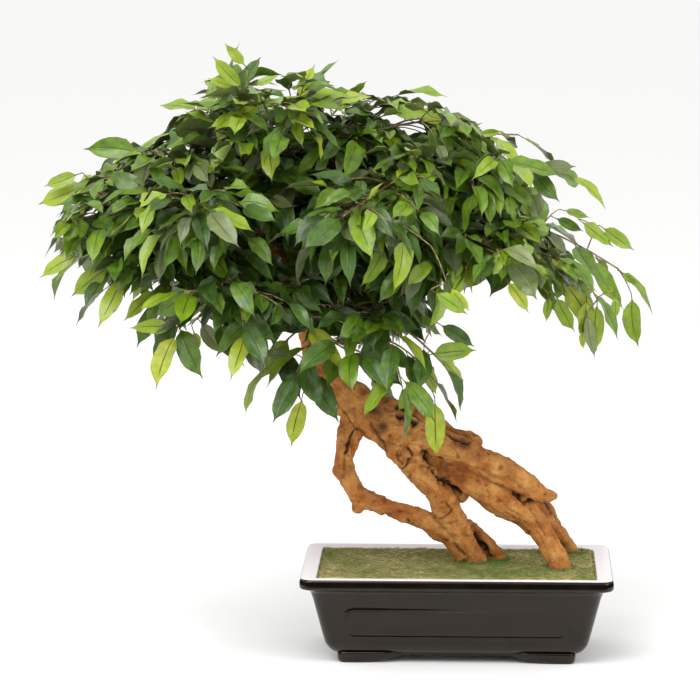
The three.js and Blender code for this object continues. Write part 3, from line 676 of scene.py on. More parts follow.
def closedTube(rings, first):
    # Tube faces with both ends closed by one flat face.
    rows, sides = rings.shape[:2]
    ends = np.array([np.arange(sides)[::-1], np.arange(sides) + (rows - 1) * sides]) + first
    return tubeFaces(rows, sides, first), ends


def fusedWood():
    # All strands and burls as one skin, remeshed on a fine grid so that they grow into each other.
    tubes = [strandTube(rows) for rows in strands.values()]
    shapes = [rings for rings, line in tubes] + [ballRings(burl[:3], burl[3]) for burl in burls]
    quads, ends, first = [], [], 0
    for rings in shapes:
        sideFaces, endFaces = closedTube(rings, first)
        quads.append(sideFaces)
        ends.append(endFaces)
        first += rings.shape[0] * rings.shape[1]
    points = np.concatenate([rings.reshape(-1, 3) for rings in shapes])
    rough = makePiece("rough_wood", points, [np.concatenate(quads), np.concatenate(ends)], [])
    remesh = rough.modifiers.new("skin", "REMESH")
    remesh.mode, remesh.voxel_size = "VOXEL", trunk["voxel"] / millimetres
    soften = rough.modifiers.new("soften", "SMOOTH")
    soften.factor, soften.iterations = 0.5, trunk["smoothing"]
    skin = bpy.data.meshes.new_from_object(rough.evaluated_get(bpy.context.evaluated_depsgraph_get()))
    corners = meshValues(skin.vertices, "co", 3) * millimetres - potPlace
    normals = meshValues(skin.vertices, "normal", 3)
    faces = meshValues(skin.loops, "vertex_index", kind=np.int32).reshape(-1, 4)
    bpy.data.objects.remove(rough)
    bpy.data.meshes.remove(skin)
    return corners, normals, faces, [line for rings, line in tubes]


def strandPlace(points, line):
    # Where points are on a strand: how far outside it, and (along, across, over) as if it were straight.
    gap = np.full(len(points), 1e9)
    nearest = np.zeros(len(points), int)
    for n, (centre, radius) in enumerate(zip(line["path"], line["radii"])):
        reach = np.linalg.norm(points - centre, axis=1) - radius
        closer = reach < gap
        gap[closer], nearest[closer] = reach[closer], n
    offset = points - line["path"][nearest]
    straight = np.stack([
        line["along"][nearest] + (offset * line["tangents"][nearest]).sum(1),
        (offset * line["across"][nearest]).sum(1),
        (offset * line["over"][nearest]).sum(1),
    ], 1)
    return gap, straight


def cutDistance(x, z, line):
    # Distance from places to a chain of straight pieces, seen from the front.
    line = np.array(line, float)
    best = np.full(len(x), 1e9)
    for start, end in zip(line[:-1], line[1:]):
        step = end - start
        share = np.clip(((x - start[0]) * step[0] + (z - start[1]) * step[1]) / (step @ step), 0, 1)
        best = np.minimum(best, np.hypot(x - start[0] - share * step[0], z - start[1] - share * step[1]))
    return best


def patchShare(points, name):
    # 1 in the middle of a patch, falling off as a bell curve with a ragged edge.
    share = np.zeros(len(points))
    for x, z, radius in patches[name]:
        away = np.hypot(points[:, 0] - x, points[:, 2] - z) * (1 + 0.4 * noise(points / 6, 12))
        share = np.maximum(share, np.exp(-((away / radius) ** 2)))
    return share


def woodRelief(points, places, weights):
    # How far the surface stands out: long fibres along each strand, lumps of 15, 8 and 4 mm, and wrinkles.
    fibres = np.zeros(len(points))
    for number, (gap, straight) in enumerate(places):
        used = weights[number] > 0.02
        where = straight[used] + number * trunk["grainShift"]
        long = 1 - 2 * np.abs(noise(where / [70, 7.5, 7.5], 3))
        short = 1 - 2 * np.abs(noise(where / [26, 4.0, 4.0], 4))
        fibres[used] += weights[number][used] * (0.6 * long + 0.42 * short)
    fibres -= fibres.mean()
    lumps = 1.5 * noise(points / 15, 6) + 1.1 * noise(points / 8, 7) + 0.55 * noise(points / 4.2, 8)
    wrinkles = (1 - 2.4 * np.abs(noise(points / 8.5, 10))) * 3.0 * patchShare(points, "wrinkled")
    return trunk["swell"] + fibres + lumps + wrinkles


def trunkPiece(material):
    # The fused skin pushed out along its normals by the wood's relief, and in by grooves, cuts and pits.
    # Cuts, pits, low places and the seams between strands are darkened with painted shade; burnt patches are
    # dark wood.
    points, normals, quads, lines = fusedWood()
    places = [strandPlace(points, line) for line in lines]
    gaps = np.stack([gap for gap, straight in places])
    weights = np.exp(-(gaps - gaps.min(0)) / trunk["blend"])
    weights /= weights.sum(0)
    relief = woodRelief(points, places, weights)
    front = smoothStep(0.1, -0.35, normals[:, 1])
    cuts, dark = np.zeros(len(points)), np.zeros(len(points))
    # each cut wanders by 2 mm and is ragged, so that it reads as torn wood and not as a drawn line
    x, z = (points[:, axis] + 1.7 * noise(points / 6.5, 14 + axis) for axis in (0, 2))
    ragged = 1 + 0.45 * noise(points / 4.5, 13)
    # each cut's darkness is painted shade laid in it
    for line, width, depth, darkness in frontCuts:
        close = front * np.exp(-(cutDistance(x, z, line) * ragged / width) ** 2)
        cuts = np.maximum(cuts, depth * close)
        dark = np.maximum(dark, darkness * smoothStep(0.12, 1.0, close))
    pits = smoothStep(0.6, 0.85, noise(points / 6.0, 9))
    # a groove where two strands meet
    second = np.sort(gaps, axis=0)[:2]
    apart = second[1] - second[0]
    groove = np.exp(-((apart / trunk["grooveWidth"]) ** 2)) * (1 + 0.5 * noise(points / 9, 15))
    sunk = trunk["grooveDepth"] * groove + cuts + trunk["pitDepth"] * pits
    moved = points + normals * (relief + trunk["lift"] - sunk)[:, None]
    nearest = gaps.argmin(0)
    grain = np.stack([straight for gap, straight in places])[nearest, np.arange(len(points))]
    grain += nearest[:, None] * trunk["grainShift"]
    # painted shade along the seams between strands, in low places and in pits, added to that of the cuts; the
    # burnt patches are the wood's own dark
    seam = np.exp(-((apart / trunk["seamWidth"]) ** 2))
    low = np.clip(-0.28 * relief, 0, 0.5)
    burnt = 0.85 * patchShare(points, "burnt") * front
    dark = np.clip(np.maximum(np.maximum(dark, burnt), 0.5 * pits) + 0.3 * low + 0.24 * seam, 0, 1)
    # the third share is a painted highlight, lighter on raised places
    stain = np.stack([dark, patchShare(points, "rust") * front, np.clip(0.3 * relief, 0, 1)], 1)
    piece = makePiece("driftwood_trunk", moved, [quads], [material], {"grain": grain, "stain": stain})
    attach(piece, "root")
    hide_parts("trunk")
    print("trunk faces:", len(quads))
    return piece


def weatheredRootWood():
    # Root wood, peeled and sand-blown: ochre with rust and pale blotches and no shine. Its hollows, cuts,
    # pits and seams
    #     # are darkened with painted shade, its raised places get a painted highlight, and its burnt patches
    #     are dark wood.
    material, surface, add = startMaterial("sandblown_root_wood", Roughness=0.85, IOR=1.45)
    place = add("TexCoord", take="Object")
    grain = add("Attribute", take="Vector", attribute_name="grain")
    stain = add("Attribute", take="Vector", attribute_name="stain")
    # the three shares: painted shade together with the burnt patches' own dark, rust, and a painted highlight
    # on raised places
    dark, rust, ridge = add("SeparateXYZ", {"Vector": stain}).node.outputs
    # blotches 18 mm wide, broken up down to 1 mm
    blotch = add("TexNoise", {"Vector": place, "Scale": 55.0, "Detail": 7.0, "Roughness": 0.68})
    colour = add("ValToRGB", {"Fac": blotch}, stops={
        0.3: "#84481b", 0.43: "#a96527", 0.56: "#bf7d38", 0.72: "#d39d58"})
    # fibre lines 2 mm apart and about 25 mm long, and dark specks 2 mm wide, painted shade of small pits
    fibre = add("Mapping", {"Vector": grain, "Scale": (0.04, 0.5, 0.5)})
    streak = add("TexNoise", {"Vector": fibre, "Scale": 1.0, "Detail": 4.0})
    specks = add("TexNoise", {"Vector": place, "Scale": 420.0, "Detail": 2.0})
    # ridge is a painted highlight, specks and dark are painted shade, and dark also holds the burnt patches'
    # char
    overlays = [
        (streak, 0.54, 0.7, 0.5, "#7d4519"),
        (ridge, 0.0, 1.0, 0.35, "#e0b26c"),
        (rust, 0.0, 1.0, 0.6, "#8a3d16"),
        (specks, 0.6, 0.68, 0.45, "#6b3a14"),
        (dark, 0.1, 1.0, 1.0, "#2c160a"),
    ]
    for value, low, high, most, tint in overlays:
        share = add("MapRange", {"Value": value, "From Min": low, "From Max": high, "To Max": most})
        colour = add("Mix", {"Factor": share, "A": colour, "B": tint}, data_type="RGBA")
    # sand-blown roughness: grit of 3 mm with pores of 1 mm in it
    pores = add("TexNoise", {"Vector": place, "Scale": 330.0, "Detail": 5.0, "Roughness": 0.65})
    grit = add("Bump", {"Height": pores, "Distance": 0.003, "Strength": 0.85})
    linkSurface(surface, colour, add("Bump", {
        "Height": streak, "Distance": 0.0012, "Strength": 0.5, "Normal": grit}))
    return material


trunkPiece(weatheredRootWood())
print("trunk made")

# Moss mat: a cut sheet of preserved moss

moss = {
    "halfWidth": 159.0,
    "halfDepth": 86.0,
    "top": 103.4,
    "thickness": 3.6,
    "step": 1.7,
    "fibres": 15000,
    "fringe": 1400,
    "tuft": 300,
    "fibreHalf": 0.26,
    "seed": 11,
    "shade": 0.45,
}

# Where roots go into the moss: [x, y, radius].
rootFeet = [[120, -22, 12], [137, 71, 10.5], [17, 10, 15], [46, 24, 10.5]]


def nearRoots(x, y, reach):
    # 1 on each root's foot, falling off round it as a bell curve over a reach.
    return sum(np.exp(-(np.maximum(np.hypot(x - footX, y - footY) - radius, 0) / reach) ** 2)
               for footX, footY, radius in rootFeet)


def mossHeight(x, y):
    # The pile's height: streaks along X, soft lumps, and small mounds round the roots.
    flat = np.stack([x, y, np.zeros_like(x)], -1)
    height = 0.5 * noise(flat / [15, 9, 1], 21) + 0.55 * noise(flat / [6, 6, 1], 22)
    height += 0.5 * noise(flat / [2.8, 4, 1], 23)
    return height + 1.6 * nearRoots(x, y, 5.0)


def mossShade(x, y):
    # Where the moss is greener or drier: blotches 24 mm wide and 50 mm deep, which look round from the
    # front, greener to the front of the middle roots.
    blotch = 0.22 * noise(np.stack([x / 24, y / 50, 0 * x], -1), 31)
    blotch += 0.18 * noise(np.stack([x / 9, y / 14, 0 * x], -1), 32)
    return blotch + 0.3 * np.exp(-((x - 40) / 60) ** 2 - ((y + 50) / 60) ** 2)


def mossSlab():
    # A grid for the top, turned down at its ragged edges, with walls and a flat underside.
    columns = int(2 * moss["halfWidth"] / moss["step"])
    rows = int(2 * moss["halfDepth"] / moss["step"])
    x, y = np.meshgrid(np.linspace(-1, 1, columns) * moss["halfWidth"],
                       np.linspace(-1, 1, rows) * moss["halfDepth"])
    rim = np.minimum(moss["halfWidth"] - np.abs(x), moss["halfDepth"] - np.abs(y))
    ragged = np.stack([x, y, np.full_like(x, 5.0)], -1)
    pull = (0.5 + 0.5 * noise(ragged / 4.0, 24)) * 0.9 * (rim < 0.01)
    z = moss["top"] - 0.5 + mossHeight(x, y) - 1.2 * np.exp(-rim / 1.4)
    # the mat reaches a little further out on the right of its front edge
    reach = 2.4 * np.exp(-((x - 70) / 80) ** 2) * smoothStep(-60, -moss["halfDepth"], y)
    top = np.stack([x - np.sign(x) * pull, y - np.sign(y) * pull - reach, z], -1)
    below = top.copy()
    below[..., 2] = moss["top"] - moss["thickness"]
    n = np.arange(rows * columns).reshape(rows, columns)
    quads = np.stack([n[:-1, :-1], n[:-1, 1:], n[1:, 1:], n[1:, :-1]], -1).reshape(-1, 4)
    border = np.concatenate([n[0, :-1], n[:-1, -1], n[-1, :0:-1], n[:0:-1, 0]])
    under = border + rows * columns
    ahead, underAhead = np.roll(border, -1), np.roll(under, -1)
    walls = np.stack([border, under, underAhead, ahead], -1)
    bottom = quads[:, ::-1] + rows * columns
    return np.concatenate([top.reshape(-1, 3), below.reshape(-1, 3)]), np.concatenate([quads, walls, bottom])


def pileFibres(chance):
    # Fibres all over the top, combed along X both ways.
    count = moss["fibres"]
    x = chance.uniform(-1, 1, count) * (moss["halfWidth"] - 1)
    y = chance.uniform(-1, 1, count) * (moss["halfDepth"] - 1)
    turn = chance.normal(0, 0.36, count) + np.pi * (chance.random(count) < 0.5)
    lift = chance.uniform(0.02, 0.4, count)
    spots = np.stack([x, y, moss["top"] - 0.6 + mossHeight(x, y)], -1)
    ways = np.stack([np.cos(turn), np.sin(turn), lift], -1)
    sizes = chance.uniform(2.5, 7, count)
    return spots, ways, sizes, moss["shade"] + mossShade(x, y) + chance.normal(0, 0.29, count)


def fringeFibres(chance):
    # Fibres that stick out of the mat's two cut ends, many of them dark as painted shade along the cut edges.
    count = moss["fringe"]
    end = np.sign(chance.uniform(-1, 1, count))
    y = chance.uniform(-1, 1, count) * moss["halfDepth"]
    z = moss["top"] - chance.uniform(0.3, 3.0, count)
    spots = np.stack([end * (moss["halfWidth"] - 1.2), y, z], -1)
    ways = np.stack([end, chance.normal(0, 0.3, count), chance.normal(0.05, 0.25, count)], -1)
    return spots, ways, chance.uniform(2.0, 4.2, count), chance.uniform(-0.15, 0.3, count)


def tuftFibres(chance, footX, footY, radius):
    # A ring of greener fibres round one root, pointing every way.
    count = moss["tuft"]
    angle = chance.uniform(0, 2 * np.pi, count)
    reach = radius + chance.uniform(-1, 6, count)
    x, y = footX + reach * np.cos(angle), footY + reach * np.sin(angle)
    spots = np.stack([x, y, np.full(count, moss["top"] + 0.3)], -1)
    sideX, sideY = chance.normal(0, 0.8, count), chance.normal(0, 0.8, count)
    ways = np.stack([sideX, sideY, chance.uniform(0.3, 1.0, count)], -1)
    return spots, ways, chance.uniform(3, 6.5, count), chance.uniform(0.7, 1.3, count)


def mossFibres():
    # Thin three-sided spikes: a base triangle sunk in the mat and one far tip.
    chance = np.random.default_rng(moss["seed"])
    groups = [pileFibres(chance), fringeFibres(chance), *(tuftFibres(chance, *foot) for foot in rootFeet)]
    spots, ways, sizes, greens = (np.concatenate(values) for values in zip(*groups))
    ways = unit(ways)
    side = unit(np.cross(ways, up + 0.01))
    lifted = np.cross(side, ways)
    half = moss["fibreHalf"]
    base = np.stack([spots + side * half, spots - side * half, spots + lifted * half * 1.2], 1)
    tips = spots + ways * sizes[:, None]
    # none reaches the pot's white wall
    inside = (np.abs(tips[:, 0]) < moss["halfWidth"] + 4) & (np.abs(tips[:, 1]) < moss["halfDepth"] + 0.6)
    points = np.concatenate([base[inside], tips[inside, None]], 1)
    n = np.arange(len(points))[:, None] * 4
    faces = np.concatenate([n + [0, 1, 3], n + [1, 2, 3], n + [2, 0, 3], n + [0, 2, 1]])
    return points.reshape(-1, 3), faces, np.repeat(greens[inside], 4)


def mossPiece(material):
    # The slab and its fibres, with a value of how green each point is, more so round the roots.
    slab, quads = mossSlab()
    spikes, triangles, greens = mossFibres()
    x, y = slab[:, 0], slab[:, 1]
    shade = moss["shade"] + mossShade(x, y) + 0.5 * nearRoots(x, y, 9.0)
    points = np.concatenate([slab, spikes])
    look = np.concatenate([shade, greens])
    piece = makePiece("cut_moss_mat", points, [quads, triangles + len(slab)], [material], {"green": look})
    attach(piece, "root")
    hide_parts("moss_mat")
    return piece


def preservedMoss():
    # Preserved moss combed one way and cut with a blade: dull olive fibres, straw where it is dry.
    material, surface, add = startMaterial("preserved_moss", Roughness=0.95)
    green = add("Attribute", take="Fac", attribute_name="green")
    # strands 1 mm wide and 8 mm long, drawn a little coarse so that they show
    combed = add("Mapping", {"Vector": add("TexCoord", take="Object"), "Scale": (130.0, 900.0, 500.0)})
    strand = add("TexNoise", {"Vector": combed, "Scale": 1.0, "Detail": 3.0, "Roughness": 0.7})
    # the strands move the green up and down by half of 1.1
    lowest = add("Math", {0: green, 1: 0.55}, operation="SUBTRACT")
    greener = add("Math", {0: strand, 1: 1.1, 2: lowest}, operation="MULTIPLY_ADD")
    # the darkest stop, below 0.07, is painted shade for the fibres at the mat's cut ends
    colour = add("ValToRGB", {"Fac": greener}, stops={
        0.0: "#3c3a22", 0.07: "#a89c6c", 0.18: "#cdc08a", 0.35: "#b3a96e", 0.6: "#969353",
        0.82: "#75823a", 1.0: "#5a842f"})
    linkSurface(surface, colour, add("Bump", {"Height": strand, "Distance": 0.0012, "Strength": 0.8}))
    return material


mossPiece(preservedMoss())
print("moss mat made")

# Crown: stems, twigs and leaves, grown by the part's own rule and then thickened

leaf = {
    "stalk": 9.0,
    "blade": 52.0,
    "halfWidth": 12.0,
    "thickness": 0.5,
    "stalkRadius": 0.55,
    "ripple": 1.5,
    "twist": 0.9,
    "swing": 3.2,
    # the section's corners: how far across, and 1 on the face or -1 below
    "across": [1, 0.45, 0, -0.45, -1, 0],
    "over": [0, 1, 1, 1, 0, -1],
    "stations": [0.02, 0.08, 0.2, 0.38, 0.56, 0.7, 0.81, 0.89, 0.95],
    "widthAt": [0, 0.04, 0.1, 0.2, 0.32, 0.48, 0.62, 0.73, 0.82, 0.89, 0.95, 1.0],
    "width": [0.05, 0.38, 0.66, 0.88, 0.98, 1.0, 0.93, 0.78, 0.54, 0.27, 0.1, 0.03],
    "dripTip": 1.07,
}

leafHabit = {
    "turn": 0.85, "turnSpread": 0.35, "leastHang": 0.18, "moreHang": 0.5, "faceUp": 0.75,
    "faceOut": 0.45, "faceFront": 0.3, "faceSpread": 0.55, "faceSpreadUp": 0.3, "leastSize": 0.86,
    "moreSize": 0.28, "leastDroop": 2, "moreDroop": 13, "leastFold": 0.12, "moreFold": 0.3, "wave": 1.6,
}

twigHabit = {
    "turn": 0.75, "moreTurn": 0.5, "tilt": 0.4, "length": 58, "moreLength": 26, "rootScale": 1.05,
    "tipLoss": 0.35, "arch": 0.12, "sag": 0.14,
}

growth = {
    "tries": 9,
    "stemPieces": 5,
    "sproutGap": 2.6,
    "twigSpacing": 44,
    "firstTwig": 0.3,
    "lastTwig": 0.86,
    "forkShare": 0.42,
    "stemLeaves": [0.88, 0.94],
    "twigLeaves": [0.42, 0.72],
    "stemRadius": (2.1, 1.1),
    "twigRadius": (1.3, 0.9),
    "match": 0.05,
    # rings along a tube, by how many points its line has: twigs, shoots, bare stems and stems
    "rings": {2: 7, 3: 5, 5: 15, 6: 15},
    "sides": 6,
}

crown = {
    "low": np.array([-172.0, -7.0, 380.0]),
    "bend": np.array([-188.0, 0.0, 436.0]),
    "top": np.array([-238.0, 9.0, 492.0]),
    "rootOffset": 2.4,
    "leastArch": 0.1,
}

# Each bough: its height share on the leader, the tips of its stem and its fork, and its arch.
boughs = [
    [1.0, [[-262, 22, 650], [-302, 62, 626]], 0.02],
    [0.95, [[-184, -12, 644], [-222, -84, 652]], 0.04],
    [0.89, [[-140, 105, 628], [-195, 205, 520]], 0.1],
    [0.83, [[-80, 40, 644], [0, -30, 624]], 0.14],
    [0.78, [[-360, -40, 586], [-355, 130, 560]], 0.12],
    [0.72, [[68, 50, 600], [-40, 190, 540]], 0.2],
    [0.67, [[-426, 16, 544], [-320, 190, 486]], 0.18],
    [0.61, [[124, -50, 564], [-125, -205, 534]], 0.22],
    [0.56, [[-434, -62, 512], [-275, -195, 540]], 0.2],
    [0.5, [[184, 20, 448], [76, 125, 478]], 0.3],
    [0.44, [[-446, 42, 456], [-345, 62, 400]], 0.24],
    [0.38, [[152, -80, 436], [55, -150, 480]], 0.28],
    [0.32, [[-394, -82, 440], [-318, -108, 390]], 0.22],
    [0.26, [[-60, 112, 405], [-228, 130, 398]], 0.22],
    [0.2, [[-234, -152, 398], [-304, -165, 444]], 0.28],
    [0.13, [[-16, -112, 356], [-62, -150, 340]], 0.24],
    [0.04, [[-165, -108, 340], [-108, -135, 372]], 0.28],
]


def bezier(start, control, end, t):
    # A point on the curve (1-t)^2 start + 2t(1-t) control + t^2 end.
    t = np.asarray(t, float)[..., None]
    return start * (1 - t) ** 2 + control * 2 * t * (1 - t) + end * t**2


def stemLine(start, control, end, pieces):
    # A curve with its chain of straight pieces, as long as the mean of its control line and its chord.
    reach = [np.linalg.norm(a - b) for a, b in ((start, control), (control, end), (start, end))]
    return {"curve": (start, control, end), "length": sum(reach) / 2,
            "points": bezier(start, control, end, np.linspace(0, 1, pieces + 1))}


def onLine(line, t):
    # The place and direction at a share of the line's chain of straight pieces.
    pieces = len(line["points"]) - 1
    n = min(int(t * pieces), pieces - 1)
    start, end = line["points"][n], line["points"][n + 1]
    return start + (end - start) * (t * pieces - n), unit(end - start)


def boughLines(height, tips, arch):
    # The bough's stem, an arch from its hole in the leader to its tip, and the fork that leaves it.
    tip = np.array(tips[0], float)
    middle = bezier(crown["low"], crown["bend"], crown["top"], height)
    root = middle + unit(tip - middle) * crown["rootOffset"]
    reach = np.linalg.norm(tip - root)
    control = root + (tip - root) * 0.42 + up * reach * (crown["leastArch"] + arch)
    main = stemLine(root, control, tip, growth["stemPieces"])
    fork, heading = onLine(main, growth["forkShare"])
    side = np.array(tips[1], float)
    sideReach = np.linalg.norm(side - fork)
    sideControl = fork + (side - fork) * 0.25 + heading * sideReach * 0.2 + up * sideReach * 0.08
    return main, stemLine(fork, sideControl, side, growth["stemPieces"])


def outwardAt(place):
    # The level direction away from the leader, or forwards right over it.
    out = (place - crown["bend"]) * [1, 1, 0]
    return unit(out) if np.linalg.norm(out) > 1 else np.array([0.0, -1.0, 0.0])


def leafPose(place, along, turn, keys, habit=leafHabit):
    # A leaf's frame: where it springs from, the way it points and the way its face looks.
    sideways = unit(np.cross(along, up))
    angle = turn + spread(habit["turnSpread"], *keys, 1)
    point = along * np.cos(angle) + sideways * np.sin(angle)
    point[2] -= habit["leastHang"] + habit["moreHang"] * draw(*keys, 2)
    point = unit(point)
    face = np.array([
        spread(habit["faceSpread"], *keys, 3),
        spread(habit["faceSpread"], *keys, 4) - habit["faceFront"],
        spread(habit["faceSpreadUp"], *keys, 5) + habit["faceUp"],
    ]) + outwardAt(place) * habit["faceOut"]
    face = unit(face - point * (face @ point))
    return {
        "place": place, "point": point, "face": face,
        "size": habit["leastSize"] + habit["moreSize"] * draw(*keys, 6),
        "droop": habit["leastDroop"] + habit["moreDroop"] * draw(*keys, 7),
        "fold": habit["leastFold"] + habit["moreFold"] * draw(*keys, 8),
        "wave": spread(habit["wave"], *keys, 9),
    }


def leafTip(pose):
    # The leaf's length along its own way, less its droop.
    length = leaf["stalk"] + leaf["blade"] * pose["size"]
    return pose["place"] + pose["point"] * length - pose["face"] * pose["droop"]


def twigLine(stem, t, turn, keys):
    # A side twig: from the stem out to one side, arched, and slightly down at its end.
    habit = twigHabit
    start, along = onLine(stem, t)
    sideways = unit(np.cross(along, up))
    angle = turn * (habit["turn"] + habit["moreTurn"] * draw(*keys, 1))
    scale = habit["rootScale"] - habit["tipLoss"] * t
    length = (habit["length"] + habit["moreLength"] * draw(*keys, 2)) * scale
    heading = unit(along * np.cos(angle) + sideways * np.sin(angle) + up * spread(habit["tilt"], *keys, 3))
    end = start + heading * length
    control = (start + end) / 2 + up * length * habit["arch"]
    return stemLine(start, control, end - up * length * habit["sag"], 1)


def cornersOf(node):
    # The node's corners in the millimetres of this script.
    return meshValues(node.data.vertices, "co", 3) * millimetres - potPlace


def firstLeaf(corners, place, along, turn, keys):
    # The seeded pose that the part kept: the one whose tip is a corner of the part's mesh.
    for attempt in range(growth["tries"]):
        pose = leafPose(place, along, turn, [*keys, attempt])
        if np.linalg.norm(corners - leafTip(pose), axis=1).min() < growth["match"]:
            return [pose]
    return []


def leavesOn(corners, line, shares, keys):
    # The part's leaves at some shares of a line, on its two sides in turn, each with its share.
    found = []
    for number, t in enumerate(shares):
        turn = (-1 if number % 2 else 1) * leafHabit["turn"]
        found += [(pose, t) for pose in firstLeaf(corners, *onLine(line, t), turn, [*keys, number])]
    return found


def twigOn(corners, stem, t, side, keys):
    # The seeded twig that the part kept: four corners stand round its end at its end's radius.
    for attempt in range(growth["tries"]):
        trial = [*keys, attempt]
        line = twigLine(stem, t, side, trial)
        away = np.linalg.norm(corners - line["points"][-1], axis=1)
        if (np.abs(away - growth["twigRadius"][1]) < growth["match"]).sum() >= 4:
            return line, trial
    return None


def growBough(index, corners):
    # The bough's lines with their radii, and its leaves with the line and share they stand on.
    lines, leaves = [], []
    main, side = boughLines(*boughs[index])
    for order, stem in enumerate((main, side)):
        keys = [index, order]
        lines.append((stem, growth["stemRadius"], keys))
        reach = growth["lastTwig"] - growth["firstTwig"]
        twigs = max(1, int(stem["length"] * reach / growth["twigSpacing"] + 0.5))
        for number in range(twigs):
            t = growth["firstTwig"] + reach * number / twigs
            if order == 0 and abs(t - growth["forkShare"]) * stem["length"] <= 2 * growth["sproutGap"]:
                continue
            found = twigOn(corners, stem, t, -1 if number % 2 else 1, [*keys, number])
            if not found:
                continue
            twig, trial = found
            lines.append((twig, growth["twigRadius"], trial))
            for pose, share in leavesOn(corners, twig, growth["twigLeaves"], trial):
                leaves.append((pose, twig, share))
            place, along = onLine(twig, 1)
            leaves += [(pose, twig, 1.0) for pose in firstLeaf(corners, place, along, 0, [*trial, 2])]
        for pose, share in leavesOn(corners, stem, growth["stemLeaves"], [*keys, 50]):
            leaves.append((pose, stem, share))
        place, along = onLine(stem, 1)
        leaves += [(pose, stem, 1.0) for pose in firstLeaf(corners, place, along, 0, [*keys, 60])]
    return lines, leaves


extra = {
    "twigShares": [0.22, 0.57, 0.87],
    "stemStep": 15.0,
    "firstShare": 0.08,
    "lastShare": 0.97,
    "tries": 7,
    "leastRoom": 7.5,
    "turned": 0.11,
    "turnSpread": 0.3,
    "keys": 70,
    "samples": [0.2, 0.55, 0.9],
    # low leaves hang and face the front; those at the top lie level and face up
    "heights": [300, 390, 480, 640],
    "leastHang": [0.55, 0.2, -0.15, -0.45],
    "faceUp": [0.3, 0.7, 1.2, 1.4],
    "faceFront": [0.8, 0.45, 0.1, 0.0],
    "habit": {
        "turnSpread": 0.8, "moreHang": 0.7, "faceOut": 0.3, "faceSpread": 0.8, "faceSpreadUp": 0.5,
        "leastSize": 0.58, "moreSize": 0.42, "moreDroop": 20, "moreFold": 0.5, "wave": 3.0,
    },
}

shoot = {
    "step": 24.0,
    "twigShares": [0.35, 0.65],
    "firstShare": 0.07,
    "lastShare": 0.96,
    "rounds": 2,
    "turn": 0.5,
    "moreTurn": 0.9,
    "lift": 0.55,
    "length": 36.0,
    "moreLength": 36.0,
    "arch": 0.14,
    "sag": 0.12,
    "radius": (0.9, 0.6),
    "leaves": [0.3, 0.54, 0.78],
    "tries": 8,
    "leastRoom": [16.0, 15.0],
    "leafRoom": 4.0,
    "endTurn": 0.25,
    "reach": 34.0,
    "drop": 8.0,
    "keys": 300,
}

bareStem = {
    "radius": (1.0, 0.7),
    "joinRadius": (1.1, 1.0),
    "joinLift": 4.0,
    "forward": 4.0,
    "keys": 800,
}

standOut = {
    "forward": 5.0,
    "tipForward": 4.0,
    "faceSpread": 0.7,
    "faceUp": 0.35,
    "faceSpreadUp": 0.5,
    "droop": 2.5,
    "leastFold": 0.08,
    "moreFold": 0.36,
    "wave": 1.6,
    "leastGap": 3.0,
    "arch": 0.16,
    "radius": (0.85, 0.6),
    "keys": 900,
    # a leaf of the part stands for one in the photo where its tip and its way are this near
    "sameTip": 18.0,
    "sameWay": 0.75,
    "sameDepth": 60.0,
}

# The camera as it was fitted to the pot's corners in the photo.
photo = {
    "middle": 350.0,  # of its 700 pixels, both ways
    "focal": 3839.0,  # pixels
    "look": (-126.6, 0.0, 354.0),
    "distance": 4446.0,
    "pitch": 8.66,
    "yaw": 2.19,
}


# The upper and lower outline of the crown's dense part as [x, z], seen in the plane y = 0.
outline = {
    "top": [
        [-486, 445], [-471, 512], [-438, 546], [-397, 574], [-357, 597], [-322, 628], [-290, 676],
        [-262, 694], [-227, 690], [-184, 674], [-163, 679], [-132, 652], [-69, 644], [-23, 637],
        [22, 611], [53, 585], [71, 564], [82, 538], [100, 506], [111, 478], [140, 450], [168, 420],
    ],
    "bottom": [
        [-485, 460], [-445, 450], [-404, 412], [-358, 421], [-311, 412], [-283, 391], [-259, 377],
        [-228, 365], [-201, 377], [-149, 371], [-132, 359], [-103, 354], [-74, 359], [-51, 368],
        [-22, 386], [-5, 406], [15, 417], [24, 434], [71, 431], [111, 416], [140, 402], [168, 415],
    ],
    "left": -488.0,
    "right": 166.0,
    "halfDepth": 238.0,
}

# Thin stems laid out in millimetres: [start x, start z, bend x, bend z, end x, end z].
stemsPlaced = [
    [-116, 443, -119, 385, -98, 337], [-86, 390, -50, 362, -27, 299], [-236, 593, -247, 640, -243, 679],
]

# What follows was read from the photo, in its pixels: x to the right and y down.

# Gaps where the light shows through: [x, y, radius in millimetres].
gapsSeen = [
    [403, 125, 13], [417, 129, 15], [431, 124, 11], [268, 109, 8], [283, 125, 7], [308, 135, 8],
    [376, 109, 8], [336, 114, 8], [229, 289, 9], [232, 314, 9], [275, 348, 14], [256, 334, 10],
]

# Thin stems that show by themselves: [start x, start y, bend x, bend y, end x, end y].
stemsSeen = [
    [487, 238, 520, 262, 556, 300], [250, 226, 205, 247, 168, 266], [300, 258, 290, 300, 258, 334],
    [357, 202, 390, 212, 432, 246],
]

